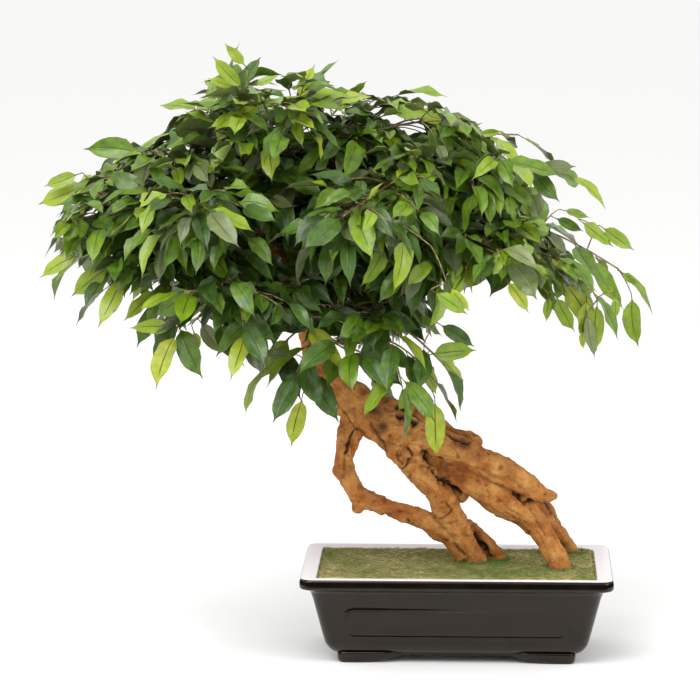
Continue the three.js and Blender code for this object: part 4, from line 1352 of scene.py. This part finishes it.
# Leaves that stand out, most of them at the crown's edge: [base x, base y, tip x, tip y, tone].
leavesSeen = [
    [249, 69, 226, 43, 0.8], [246, 91, 214, 56, 0.7], [251, 87, 280, 75, 0.7],
    [298, 103, 316, 63, 0.85], [239, 89, 209, 79, 0.75], [322, 103, 341, 90, 0.95],
    [342, 102, 369, 82, 0.5], [250, 104, 218, 98, 0.6], [84, 173, 44, 186, 0.75],
    [133, 182, 89, 203, 0.95], [95, 204, 38, 209, 0.85], [155, 221, 110, 238, 0.95],
    [117, 221, 66, 227, 0.2], [83, 253, 39, 278, 0.8], [113, 264, 71, 296, 0.75],
    [105, 285, 100, 326, 0.8], [151, 284, 131, 319, 0.85], [128, 262, 150, 300, 0.4],
    [163, 350, 147, 392, 1], [180, 337, 190, 378, 0.3], [304, 394, 293, 448, 0.95],
    [304, 377, 262, 397, 0.6], [312, 381, 335, 424, 0.15], [315, 362, 339, 382, 1],
    [373, 365, 397, 416, 0.6], [374, 340, 413, 372, 0.25], [362, 345, 340, 385, 0.4],
    [436, 397, 438, 459, 0.98], [437, 381, 472, 417, 0.15], [423, 372, 399, 413, 0.6],
    [414, 326, 422, 374, 0.8], [440, 334, 447, 392, 0.85], [428, 355, 478, 350, 0.6],
    [438, 322, 477, 347, 0.2], [452, 365, 469, 371, 0.9], [448, 284, 471, 312, 0.95],
    [432, 290, 470, 314, 0.6], [632, 293, 640, 348, 0.6], [598, 300, 597, 352, 0.7],
    [615, 270, 655, 322, 0.5], [588, 296, 584, 342, 0.75], [600, 225, 636, 250, 0.6],
    [506, 277, 531, 313, 1], [504, 273, 549, 310, 0.45], [552, 291, 547, 323, 0.65],
    [565, 280, 599, 332, 0.95], [555, 293, 576, 333, 0.6], [583, 325, 584, 350, 1],
    [587, 310, 598, 360, 0.5], [490, 271, 492, 296, 0.15], [615, 291, 618, 319, 0.6],
    [619, 270, 640, 285, 0.75], [591, 257, 628, 312, 0.5], [533, 169, 578, 167, 0.3],
    [552, 180, 603, 206, 0.75], [560, 209, 591, 216, 0.5], [579, 219, 616, 247, 0.75],
    [552, 216, 585, 231, 0.3], [562, 238, 578, 251, 0.4], [411, 101, 453, 108, 0.6],
    [412, 109, 452, 122, 0.75], [424, 143, 445, 123, 0.65], [448, 143, 484, 122, 0.7],
    [475, 136, 503, 130, 0.65], [447, 156, 496, 179, 0.85], [413, 168, 446, 177, 0.9],
    [438, 150, 382, 153, 0.25], [366, 205, 384, 181, 0.7], [393, 209, 417, 223, 0.9],
    [404, 215, 362, 226, 0.2], [330, 168, 355, 174, 0.4], [380, 173, 407, 185, 0.6],
    [178, 327, 130, 328, 0.75], [217, 296, 235, 328, 0.2], [199, 318, 227, 355, 0.55],
    [193, 325, 201, 350, 0.9], [258, 300, 236, 339, 0.35], [256, 337, 232, 383, 0.95],
    [297, 355, 263, 351, 0.25], [244, 256, 263, 294, 0.5], [278, 247, 330, 272, 0.5],
    [221, 284, 263, 297, 0.25], [156, 274, 131, 318, 0.7], [196, 312, 162, 306, 0.3],
    [322, 291, 288, 323, 0.35], [362, 314, 314, 343, 0.4], [372, 304, 400, 317, 0.2],
]


def fromPhoto(seen):
    # Where the sight lines through places in the photo meet the plane y = 0, as x and z to the nearest
    # millimetre: the eye plus a line's way times the plane's distance along it.
    yaw, pitch = np.radians([photo["yaw"], photo["pitch"]])
    ahead = np.array([-np.sin(yaw) * np.cos(pitch), np.cos(yaw) * np.cos(pitch), -np.sin(pitch)])
    right = np.array([np.cos(yaw), np.sin(yaw), 0.0])
    out = (seen.reshape(-1, 2) - photo["middle"]) / photo["focal"]
    ways = ahead + out[:, :1] * right + out[:, 1:] * np.cross(ahead, right)
    eye = np.array(photo["look"]) - ahead * photo["distance"]
    return np.round((eye - ways * eye[1] / ways[:, 1:2])[:, [0, 2]]).reshape(seen.shape)


def placed(rows, count):
    # Rows whose first numbers are places in the photo, with millimetres in their stead.
    rows = np.array(rows, float)
    return np.column_stack([fromPhoto(rows[:, :count]), rows[:, count:]])


lightGaps, standOuts = placed(gapsSeen, 2), placed(leavesSeen, 4)
bareStems = np.concatenate([stemsPlaced, placed(stemsSeen, 6)])


def toFront(points):
    # Where places are seen from the camera in the plane y = 0: X and Z scaled by the distances' ratio.
    eye = np.array(view["place"])
    share = eye[1] / (eye[1] - points[..., 1:2])
    return eye[[0, 2]] + (points[..., [0, 2]] - eye[[0, 2]]) * share


def fromFront(x, z, depth):
    # The other way round: the place at a given depth that is seen at x and z.
    eye = np.array(view["place"])
    return eye + (np.array([x, 0.0, z]) - eye) * (1 - depth / eye[1])


def insideOutline(points):
    # Whether all places are seen between the two outlines and the ends, off every gap, and not too deep.
    seen = toFront(points)
    x, z = seen[..., 0], seen[..., 1]
    top, bottom = (np.interp(x, *np.array(outline[side], float).T) for side in ("top", "bottom"))
    across = (x > outline["left"]) & (x < outline["right"])
    away = np.hypot(x[..., None] - lightGaps[:, 0], z[..., None] - lightGaps[:, 1])
    free = (away > lightGaps[:, 2]).all(-1)
    return (across & free & (z < top) & (z > bottom) & (np.abs(points[..., 1]) < outline["halfDepth"])).all()


# Places on all leaves so far, with room for more than the crown needs.
known = {"points": np.zeros((40000, 3)), "count": 0}


def remember(points):
    # Adds places to the known ones.
    known["points"][known["count"]:known["count"] + len(points)] = points
    known["count"] += len(points)


def roomAt(points):
    # The distance from some places to the nearest known leaf.
    gaps = known["points"][None, :known["count"]] - points[:, None]
    return np.sqrt((gaps * gaps).sum(2).min())


def samplePoints(pose):
    # Three places along a leaf's middle, lower by its droop times the square of their share.
    share = np.array(extra["samples"])
    reach = leaf["stalk"] + leaf["blade"] * pose["size"] * share
    drop = pose["droop"] * np.square(share)
    return pose["place"] + pose["point"] * reach[:, None] - pose["face"] * drop[:, None]


def addLeaf(place, along, side, keys, leastRoom):
    # Of a few seeded poses on a side, the one with the most room round it inside the outline.
    habit = {**leafHabit, **extra["habit"]}
    for name in ("leastHang", "faceUp", "faceFront"):
        habit[name] = np.interp(place[2], extra["heights"], extra[name])
    best, bestRoom = None, leastRoom
    for attempt in range(extra["tries"]):
        more = [*keys, attempt]
        turn = leafHabit["turn"] + spread(extra["turnSpread"], *more, 21)
        turn = side * (-1 if attempt % 3 == 2 else 1) * turn
        pose = leafPose(place, along, turn, more, habit)
        samples = samplePoints(pose)
        if not insideOutline(np.concatenate([samples, [leafTip(pose)]])):
            continue
        room = roomAt(samples)
        if room > bestRoom:
            best, bestRoom = pose, room
    if best is None:
        return []
    remember(samplePoints(best))
    return [best]


def shootLine(stem, t, side, keys):
    # A thin side shoot, arched, as a twig but freer in its direction.
    start, along = onLine(stem, t)
    start = start + curveShift(stem, t)
    sideways = unit(np.cross(along, up))
    angle = side * (shoot["turn"] + shoot["moreTurn"] * draw(*keys, 1))
    length = shoot["length"] + shoot["moreLength"] * draw(*keys, 2)
    heading = unit(along * np.cos(angle) + sideways * np.sin(angle) + up * spread(shoot["lift"], *keys, 3))
    control = start + heading * length / 2 + up * length * shoot["arch"]
    return stemLine(start, control, start + heading * length - up * length * shoot["sag"], 2)


def addShoot(stem, t, side, keys, leastRoom):
    # Of a few seeded shoots, the one whose end has the most room; it gets leaves along it and at its end.
    best, bestRoom, bestKeys = None, leastRoom, keys
    for attempt in range(shoot["tries"]):
        trial = [*keys, attempt]
        line = shootLine(stem, t, side if attempt % 2 else -side, trial)
        end, along = onLine(line, 1)
        probes = np.array([end, end + along * shoot["reach"] - up * shoot["drop"]])
        if insideOutline(probes) and roomAt(probes[1:]) > bestRoom:
            best, bestRoom, bestKeys = line, roomAt(probes[1:]), trial
    if best is None:
        return [], []
    leaves = []
    for number, share in enumerate([*shoot["leaves"], 1.0]):
        place, along = onLine(best, share)
        turn = shoot["endTurn"] * side if share == 1.0 else (1 if number % 2 else -1)
        poses = addLeaf(place, along, turn, [*bestKeys, 10 + number], shoot["leafRoom"])
        leaves += [(pose, best, share) for pose in poses]
    return ([(best, shoot["radius"], bestKeys)], leaves) if leaves else ([], [])


def sharesAlong(line, step, first, last):
    # Even shares of a line between two ends, as many as whole steps fit.
    count = max(1, int(line["length"] * (last - first) / step))
    return first + (last - first) * (np.arange(count) + 0.5) / count


def addShoots(lines, number):
    # Shoots along every stem and twig of a bough, in one round.
    newLines, newLeaves = [], []
    for line, radii, keys in lines:
        isTwig = len(line["points"]) == 2
        shares = shoot["twigShares"] if isTwig else sharesAlong(
            line, shoot["step"], shoot["firstShare"], shoot["lastShare"])
        for place, t in enumerate(shares):
            side = 1 if (place + number) % 2 else -1
            newKeys = [*keys, shoot["keys"] + 40 * number + place]
            made = addShoot(line, t, side, newKeys, shoot["leastRoom"][number])
            newLines += made[0]
            newLeaves += made[1]
    return newLines, newLeaves


def thicken(lines):
    # More leaves straight on the same stems and twigs.
    added = []
    for line, radii, keys in lines:
        isTwig = len(line["points"]) == 2
        shares = extra["twigShares"] if isTwig else sharesAlong(
            line, extra["stemStep"], extra["firstShare"], extra["lastShare"])
        for number, t in enumerate(shares):
            side = 1 if number % 2 else -1
            poses = addLeaf(*onLine(line, t), side, [*keys, extra["keys"] + number], extra["leastRoom"])
            added += [(pose, line, t) for pose in poses]
    return added


def nearestLine(grown, x, z):
    # The bough, line and share whose place is seen nearest to x and z, with those in front preferred.
    best, least = None, 1e9
    shares = np.linspace(0.05, 1, 24)
    for index, (lines, leaves) in enumerate(grown):
        for line, radii, keys in lines:
            places = bezier(*line["curve"], shares)
            gaps = np.hypot(*(toFront(places) - [x, z]).T) + 0.08 * (places[:, 1] + 240)
            if gaps.min() < least:
                best, least = (index, line, shares[gaps.argmin()]), gaps.min()
    return best


def addBareStem(grown, row):
    # A stem that hangs or stands free, joined to the nearest line of a bough by its own first piece.
    index, line, t = nearestLine(grown, *row[:2])
    root = bezier(*line["curve"], t)
    start, bend, end = (fromFront(row[n], row[n + 1], root[1] - bareStem["forward"] * n) for n in (0, 2, 4))
    joined = stemLine(root, (root + start) / 2 + up * bareStem["joinLift"], start, 2)
    grown[index][0].append((joined, bareStem["joinRadius"], [index, bareStem["keys"]]))
    grown[index][0].append((stemLine(start, bend, end, 4), bareStem["radius"], [index, bareStem["keys"] + 1]))


def addStandOut(grown, row, number):
    # A leaf laid out as it is seen, at the depth of the nearest line, on a thin shoot from that line.
    x, z, tipX, tipZ, tone = row
    index, line, t = nearestLine(grown, x, z)
    root = bezier(*line["curve"], t)
    depth = root[1] - standOut["forward"]
    place, tip = fromFront(x, z, depth), fromFront(tipX, tipZ, depth - standOut["tipForward"])
    length = np.linalg.norm(tip - place)
    point = (tip - place) / length
    face = np.array([spread(standOut["faceSpread"], number, 401), -1.0,
                     standOut["faceUp"] + spread(standOut["faceSpreadUp"], number, 402)])
    pose = {
        "place": place, "point": point, "face": unit(face - point * (face @ point)),
        "size": (length - leaf["stalk"]) / (leaf["blade"] * leaf["dripTip"]), "droop": standOut["droop"],
        "fold": standOut["leastFold"] + standOut["moreFold"] * draw(number, 403),
        "wave": spread(standOut["wave"], number, 404), "tone": tone,
    }
    remember(samplePoints(pose))
    gap = np.linalg.norm(place - root)
    joined = stemLine(root, (root + place) / 2 + up * gap * standOut["arch"], place, 2)
    if gap > standOut["leastGap"]:
        grown[index][0].append((joined, standOut["radius"], [index, standOut["keys"] + number]))
    grown[index][1].append((pose, joined, 1.0))


def leafRings(poses, shifts, seeds):
    # Leaves as closed tubes: a round stalk that opens into a blade with a flat lens section.
    # The blade's line drops with the square of the way along it and swings to one side in its middle;
    # its section is folded along the rib, bowed, rippled at its edges and twisted towards the tip.
    names = ("place", "point", "face", "size", "droop", "fold", "wave")
    place, point, face, *sizes = (np.array([pose[name] for pose in poses]) for name in names)
    place, left = place + shifts, np.cross(face, point)
    size, droop, fold, wave = (values[:, None, None] for values in sizes)
    v = np.array(leaf["stations"])[None, :, None]
    u = np.array(leaf["across"])[None, None, :]
    over = np.array(leaf["over"])[None, None, :]
    chance = seeds[:, None, None]
    wide = leaf["halfWidth"] * size * np.interp(v, leaf["widthAt"], leaf["width"])
    wide = wide * (0.9 + 0.22 * np.mod(chance * 7, 1))
    free = np.minimum(wide / 8, 1)
    along = leaf["stalk"] + leaf["blade"] * size * v + 0 * u
    across = u * wide * np.cos(fold)
    ripple = leaf["ripple"] * u * u * np.sin(13 * v + chance * 9 + 2.2 * np.sign(u)) * free
    section = np.abs(u) * wide * np.sin(fold) + 0.1 * wide * np.sin(np.pi * np.abs(u)) + ripple
    section = section + u * wave * np.cos(np.pi * (v - 0.28) / 0.36) * free
    section = section + over * leaf["thickness"] / 2 * (1 - 0.4 * np.abs(u)) * np.minimum(1, wide / 3)
    twist = leaf["twist"] * (2 * chance - 1) * v
    swing = leaf["swing"] * size * (2 * np.mod(chance * 13, 1) - 1) * np.sin(np.pi * v)
    across, section = (across * np.cos(twist) - section * np.sin(twist) + swing,
                       across * np.sin(twist) + section * np.cos(twist))
    above = section - droop * v**2
    # the stalk's rings have the section's corners on a circle, at its root and near the blade
    angle = np.arctan2(over, 1.6 * u)
    stalkAlong = np.array([0.0, leaf["stalk"] * 0.8])[None, :, None] + 0 * angle + 0 * chance
    stalkAcross = leaf["stalkRadius"] * np.cos(angle) + 0 * stalkAlong
    stalkAbove = leaf["stalkRadius"] * np.sin(angle) + 0 * stalkAlong
    along, across, above = (np.concatenate(pair, 1) for pair in (
        (stalkAlong, along), (stalkAcross, across), (stalkAbove, above)))
    rings = place[:, None, None] + point[:, None, None] * along[..., None]
    rings = rings + left[:, None, None] * across[..., None] + face[:, None, None] * above[..., None]
    end = leaf["dripTip"]
    tips = place + point * (leaf["stalk"] + leaf["blade"] * size[:, 0] * end) - face * droop[:, 0] * end**2
    return rings, tips


def leafPattern(rows, sides):
    # What every leaf has alike: its UV, across the blade and from stalk to tip; which points lie on its
    # margins; and for each of its faces, in the mesh's order, 1 on the underside.
    v = np.concatenate([[-0.16, -0.04], leaf["stations"]])
    half = (np.array(leaf["across"]) + 1) / 2
    uv = np.stack([np.broadcast_to(half, (rows, sides)), np.broadcast_to(v[:, None], (rows, sides))], -1)
    uv[:2, :, 0] = 0.5
    uv = np.concatenate([uv.reshape(-1, 2), [[0.5, 1.0]]])
    margins = np.zeros((rows, sides), bool)
    margins[1:] = np.abs(leaf["across"]) == 1
    under = (np.array(leaf["over"]) + np.roll(leaf["over"], -1) < 0).astype(float)
    return uv, np.append(margins.ravel(), True), (np.tile(under, rows - 1), under, np.zeros(1))


def leafMesh(poses, shifts, seeds, looks, first):
    # All leaves of a bough: tube faces along each, a fan to its tip, and one face on its stalk's end.
    rings, tips = leafRings(poses, shifts, seeds)
    n, rows, sides = rings.shape[:3]
    points = np.concatenate([rings.reshape(n, -1, 3), tips[:, None]], 1)
    start = (np.arange(n) * (rows * sides + 1) + first)[:, None, None]
    quads = (tubeFaces(rows, sides)[None] + start).reshape(-1, 4)
    fans = (endFan((rows - 1) * sides, sides, rows * sides)[None] + start).reshape(-1, 3)
    base = (np.arange(sides)[::-1][None] + start[:, 0]).reshape(-1, sides)
    uv, margins, unders = leafPattern(rows, sides)
    # each face's look is its leaf's tone and chance, and 1 on the underside, or on top of a turned leaf
    faceLook = []
    for under in unders:
        look = np.repeat(looks[:, None], len(under), 1)
        look[..., 2] = np.abs(look[..., 2] - under)
        faceLook.append(look.reshape(-1, 3))
    faceLook = np.concatenate(faceLook)
    return points.reshape(-1, 3), [quads, fans, base], np.tile(uv, (n, 1)), np.tile(margins, n), faceLook


def stemMesh(lines):
    # Tubes along the stems' curves, thinner to their ends.
    points, quads, ends, first = [], [], [], 0
    angle = np.arange(growth["sides"]) / growth["sides"] * 2 * np.pi
    for line, (rootRadius, tipRadius), keys in lines:
        share = np.linspace(0, 1, growth["rings"][len(line["points"])])
        path = bezier(*line["curve"], share)
        tangents, across, over = movingFrames(path)
        radii = rootRadius + (tipRadius - rootRadius) * share
        rings = path[:, None] + radii[:, None, None] * (
            across[:, None] * np.cos(angle)[None, :, None] + over[:, None] * np.sin(angle)[None, :, None])
        sideFaces, endFaces = closedTube(rings, first)
        points.append(rings.reshape(-1, 3))
        quads.append(sideFaces)
        ends.append(endFaces)
        first += len(points[-1])
    return np.concatenate(points), np.concatenate(quads), np.concatenate(ends)


def curveShift(line, t):
    # From the chain of straight pieces to the curve that it follows.
    return bezier(*line["curve"], t) - onLine(line, t)[0]


tones = {
    "standOut": 0.92,
    # the tone rises by outer over this reach from the crown's bend, so leaves near its middle stay dark,
    # partly as painted shade inside the crown
    "reach": [250, 420, 190],
    "least": 0.01,
    "outer": 0.3,
    "end": 0.1,
    "low": 0.08,
    # a few leaves are much younger than the rest, and some a little older
    "young": 0.5,
    "rare": 3.8,
    "old": 0.1,
    "neverTurned": 0.6,
}


def leafTone(pose, t, keys):
    # 0 is a dark leaf and 1 a lime one: young and lighter towards the ends of lines, lighter low down, and
    #                                    lighter towards the crown's edge and
    #     # darker towards its middle, partly as older leaves and partly as painted shade inside the crown;
    #     plus a high power of one draw, less a little of another.
    if "tone" in pose:
        return tones["standOut"] * pose["tone"]
    reach = np.linalg.norm((pose["place"] - crown["bend"]) / tones["reach"])
    low = smoothStep(460, 340, pose["place"][2])
    tone = tones["least"] + tones["outer"] * smoothStep(0.45, 1.15, reach)
    tone = tone + tones["end"] * (t > 0.9) + tones["low"] * low
    return tone + tones["young"] * draw(*keys, 5) ** tones["rare"] - tones["old"] * draw(*keys, 6)


def boughPiece(index, lines, leaves, materials):
    # A bough's tubes and blades as one piece. Each leaf moves from its chain to the curve, and takes its
    # tone, a draw for its rib, and whether it shows its back.
    poses = [pose for pose, line, t in leaves]
    shifts = np.array([curveShift(line, t) for pose, line, t in leaves])
    seeds, chances, turns = (
        np.array([draw(index, n, key) for n in range(len(leaves))]) for key in (90, 91, 92))
    leafTones = np.array([leafTone(pose, t, (index, n)) for n, (pose, line, t) in enumerate(leaves)])
    turned = (turns < extra["turned"]) & (leafTones < tones["neverTurned"])
    looks = np.stack([np.clip(leafTones, 0, 1), chances, turned], -1)
    tubes, tubeQuads, tubeEnds = stemMesh(lines)
    blades, bladeFaces, uv, margins, bladeLook = leafMesh(poses, shifts, seeds, looks, len(tubes))
    stemFaces = len(tubeQuads) + len(tubeEnds)
    leafFaces = sum(len(group) for group in bladeFaces)
    piece = makePiece(
        f"leafy_sprays_{index + 1:02d}", np.concatenate([tubes, blades]),
        [tubeQuads, tubeEnds, *bladeFaces], materials,
        uv=np.concatenate([np.zeros((len(tubes), 2)), uv]),
        faceLooks={"leafLook": np.concatenate([np.zeros((stemFaces, 3)), bladeLook])},
        kinds=np.repeat([1, 0], [stemFaces, leafFaces]),
        sharp=np.concatenate([np.zeros(len(tubes), bool), margins]))
    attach(piece, "root")
    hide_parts(f"leafy_bough_{index + 1:02d}")
    return piece


def printedLeafCloth():
    # Polyester cloth leaves, printed with veins, pressed to shape and waxed: matt below, soft shine above.
    material, surface, add = startMaterial("printed_leaf_cloth", Roughness=0.3, IOR=1.5)
    look = add("Attribute", take="Vector", attribute_name="leafLook")
    tone, chance, under = add("SeparateXYZ", {"Vector": look}).node.outputs
    across, along, flat = add("SeparateXYZ", {"Vector": add("UVMap", uv_map="blade")}).node.outputs
    offRib = add("Math", {0: across, 1: 0.5}, operation="SUBTRACT")
    fromRib = add("Math", {0: offRib}, operation="ABSOLUTE")
    # the print's blotches are 8 to 12 mm wide, with a grain of 2 mm in them
    spots = add("TexNoise", {
        "Vector": add("TexCoord", take="Object"), "Scale": 95.0, "Detail": 4.0, "Roughness": 0.6})
    lowest = add("Math", {0: tone, 1: 0.3}, operation="SUBTRACT")
    shade = add("Math", {0: spots, 1: 0.6, 2: lowest}, operation="MULTIPLY_ADD")
    top = add("ValToRGB", {"Fac": shade}, stops={
        0.0: "#264010", 0.22: "#446612", 0.45: "#6c8b18", 0.68: "#88a024", 0.88: "#a0b02e", 1.0: "#b8be3e"})
    back = add("ValToRGB", {"Fac": shade}, stops={0.0: "#4b5338", 0.5: "#757b54", 1.0: "#9fa464"})
    underShare = add("Math", {0: under, 1: 0.8}, operation="MULTIPLY")
    # side veins leave the rib at 30 degrees, about 4 mm apart
    slanted = add("Math", {0: fromRib, 1: -0.55, 2: along}, operation="MULTIPLY_ADD")
    counted = add("Math", {0: slanted, 1: 13.0}, operation="MULTIPLY")
    vein = add("Math", {0: counted, 1: 0.5}, operation="PINGPONG")
    veins = add("MapRange", {"Value": vein, "From Min": 0.12, "From Max": 0.0, "To Max": 0.2})
    # the rib is dark on most leaves, and pale on about one in six; it shows best on light leaves
    ribSide = add("MapRange", {"Value": fromRib, "From Min": 0.036, "From Max": 0.014})
    ribEnd = add("MapRange", {"Value": along, "From Min": 0.84, "From Max": 0.68})
    rib = add("Math", {0: ribSide, 1: ribEnd}, operation="MULTIPLY")
    shows = add("Math", {0: tone, 1: 0.5, 2: 0.4}, operation="MULTIPLY_ADD")
    ribShare = add("Math", {0: rib, 1: shows}, operation="MULTIPLY")
    pale = add("MapRange", {"Value": chance, "From Min": 0.82, "From Max": 0.86})
    ribColour = add("Mix", {"Factor": pale, "A": "#222f0a", "B": "#8fa04e"}, data_type="RGBA")
    margin = add("MapRange", {"Value": fromRib, "From Min": 0.45, "From Max": 0.5, "To Max": 0.3})
    tip = add("MapRange", {"Value": along, "From Min": 0.92, "From Max": 1.0, "To Max": 0.85})
    stalk = add("MapRange", {"Value": along, "From Min": 0.0, "From Max": -0.03})
    overlays = [(underShare, back), (veins, "#90a850"), (ribShare, ribColour), (margin, "#33450f"),
                (tip, "#2c2410"), (stalk, "#5a4a28")]
    colour = top
    for share, tint in overlays:
        colour = add("Mix", {"Factor": share, "A": colour, "B": tint}, data_type="RGBA")
    # rib and veins are pressed in
    pressed = add("Math", {0: veins, 1: 1.5, 2: rib}, operation="MULTIPLY_ADD")
    linkSurface(surface, colour, add("Bump", {"Height": pressed, "Distance": 0.0006, "Strength": 0.6},
                                     invert=True))
    return material


def wrappedStem():
    # Wire wrapped in brown-olive paper tape and dipped in latex: dull, with darker turns of the tape.
    material, surface, add = startMaterial("tape_wrapped_stem", Roughness=0.7)
    wraps = add("TexNoise", {"Vector": add("TexCoord", take="Object"), "Scale": 160.0, "Detail": 4.0})
    colour = add("ValToRGB", {"Fac": wraps}, stops={0.3: "#55442a", 0.5: "#8a784a", 0.7: "#a89a68"})
    linkSurface(surface, colour, add("Bump", {"Height": wraps, "Distance": 0.0008, "Strength": 0.6}))
    return material


def matchStandOuts(grown):
    # Leaves of the part that lie as one in the photo take its place and its tone. It gives back which.
    ways, taken = unit(standOuts[:, 2:4] - standOuts[:, :2]), set()
    for lines, leaves in grown:
        for pose, line, t in leaves:
            tip = toFront(leafTip(pose))
            away = np.linalg.norm(standOuts[:, 2:4] - tip, axis=1)
            nearest = int(away.argmin())
            alike = ways[nearest] @ unit(tip - toFront(pose["place"])) > standOut["sameWay"]
            if away[nearest] < standOut["sameTip"] and alike and pose["place"][1] < standOut["sameDepth"]:
                pose["tone"] = standOuts[nearest][4]
                taken.add(nearest)
    return taken


def growCrown():
    # The part's own boughs first, then what the photo shows at the edges, then shoots and leaves between.
    nodes = [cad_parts[f"leafy_bough_{n + 1:02d}"] for n in range(len(boughs))]
    grown = [growBough(n, cornersOf(node)) for n, node in enumerate(nodes)]
    print("part's leaves found:", sum(len(leaves) for lines, leaves in grown),
          "lines:", sum(len(lines) for lines, leaves in grown))
    for lines, leaves in grown:
        for pose, line, t in leaves:
            remember(samplePoints(pose))
    taken = matchStandOuts(grown)
    own = [list(lines) for lines, leaves in grown]
    for row in bareStems:
        addBareStem(grown, row)
    for number, row in enumerate(standOuts):
        if number not in taken:
            addStandOut(grown, row, number)
    for number in range(shoot["rounds"]):
        for index, (lines, leaves) in enumerate(grown):
            newLines, newLeaves = addShoots(own[index], number)
            lines += newLines
            leaves += newLeaves
    for index, (lines, leaves) in enumerate(grown):
        leaves += thicken(own[index])
    return grown


finishes = [printedLeafCloth(), wrappedStem()]
sprays = growCrown()
for index, (lines, leaves) in enumerate(sprays):
    boughPiece(index, lines, leaves, finishes)
print("crown made:", sum(len(leaves) for lines, leaves in sprays), "leaves")
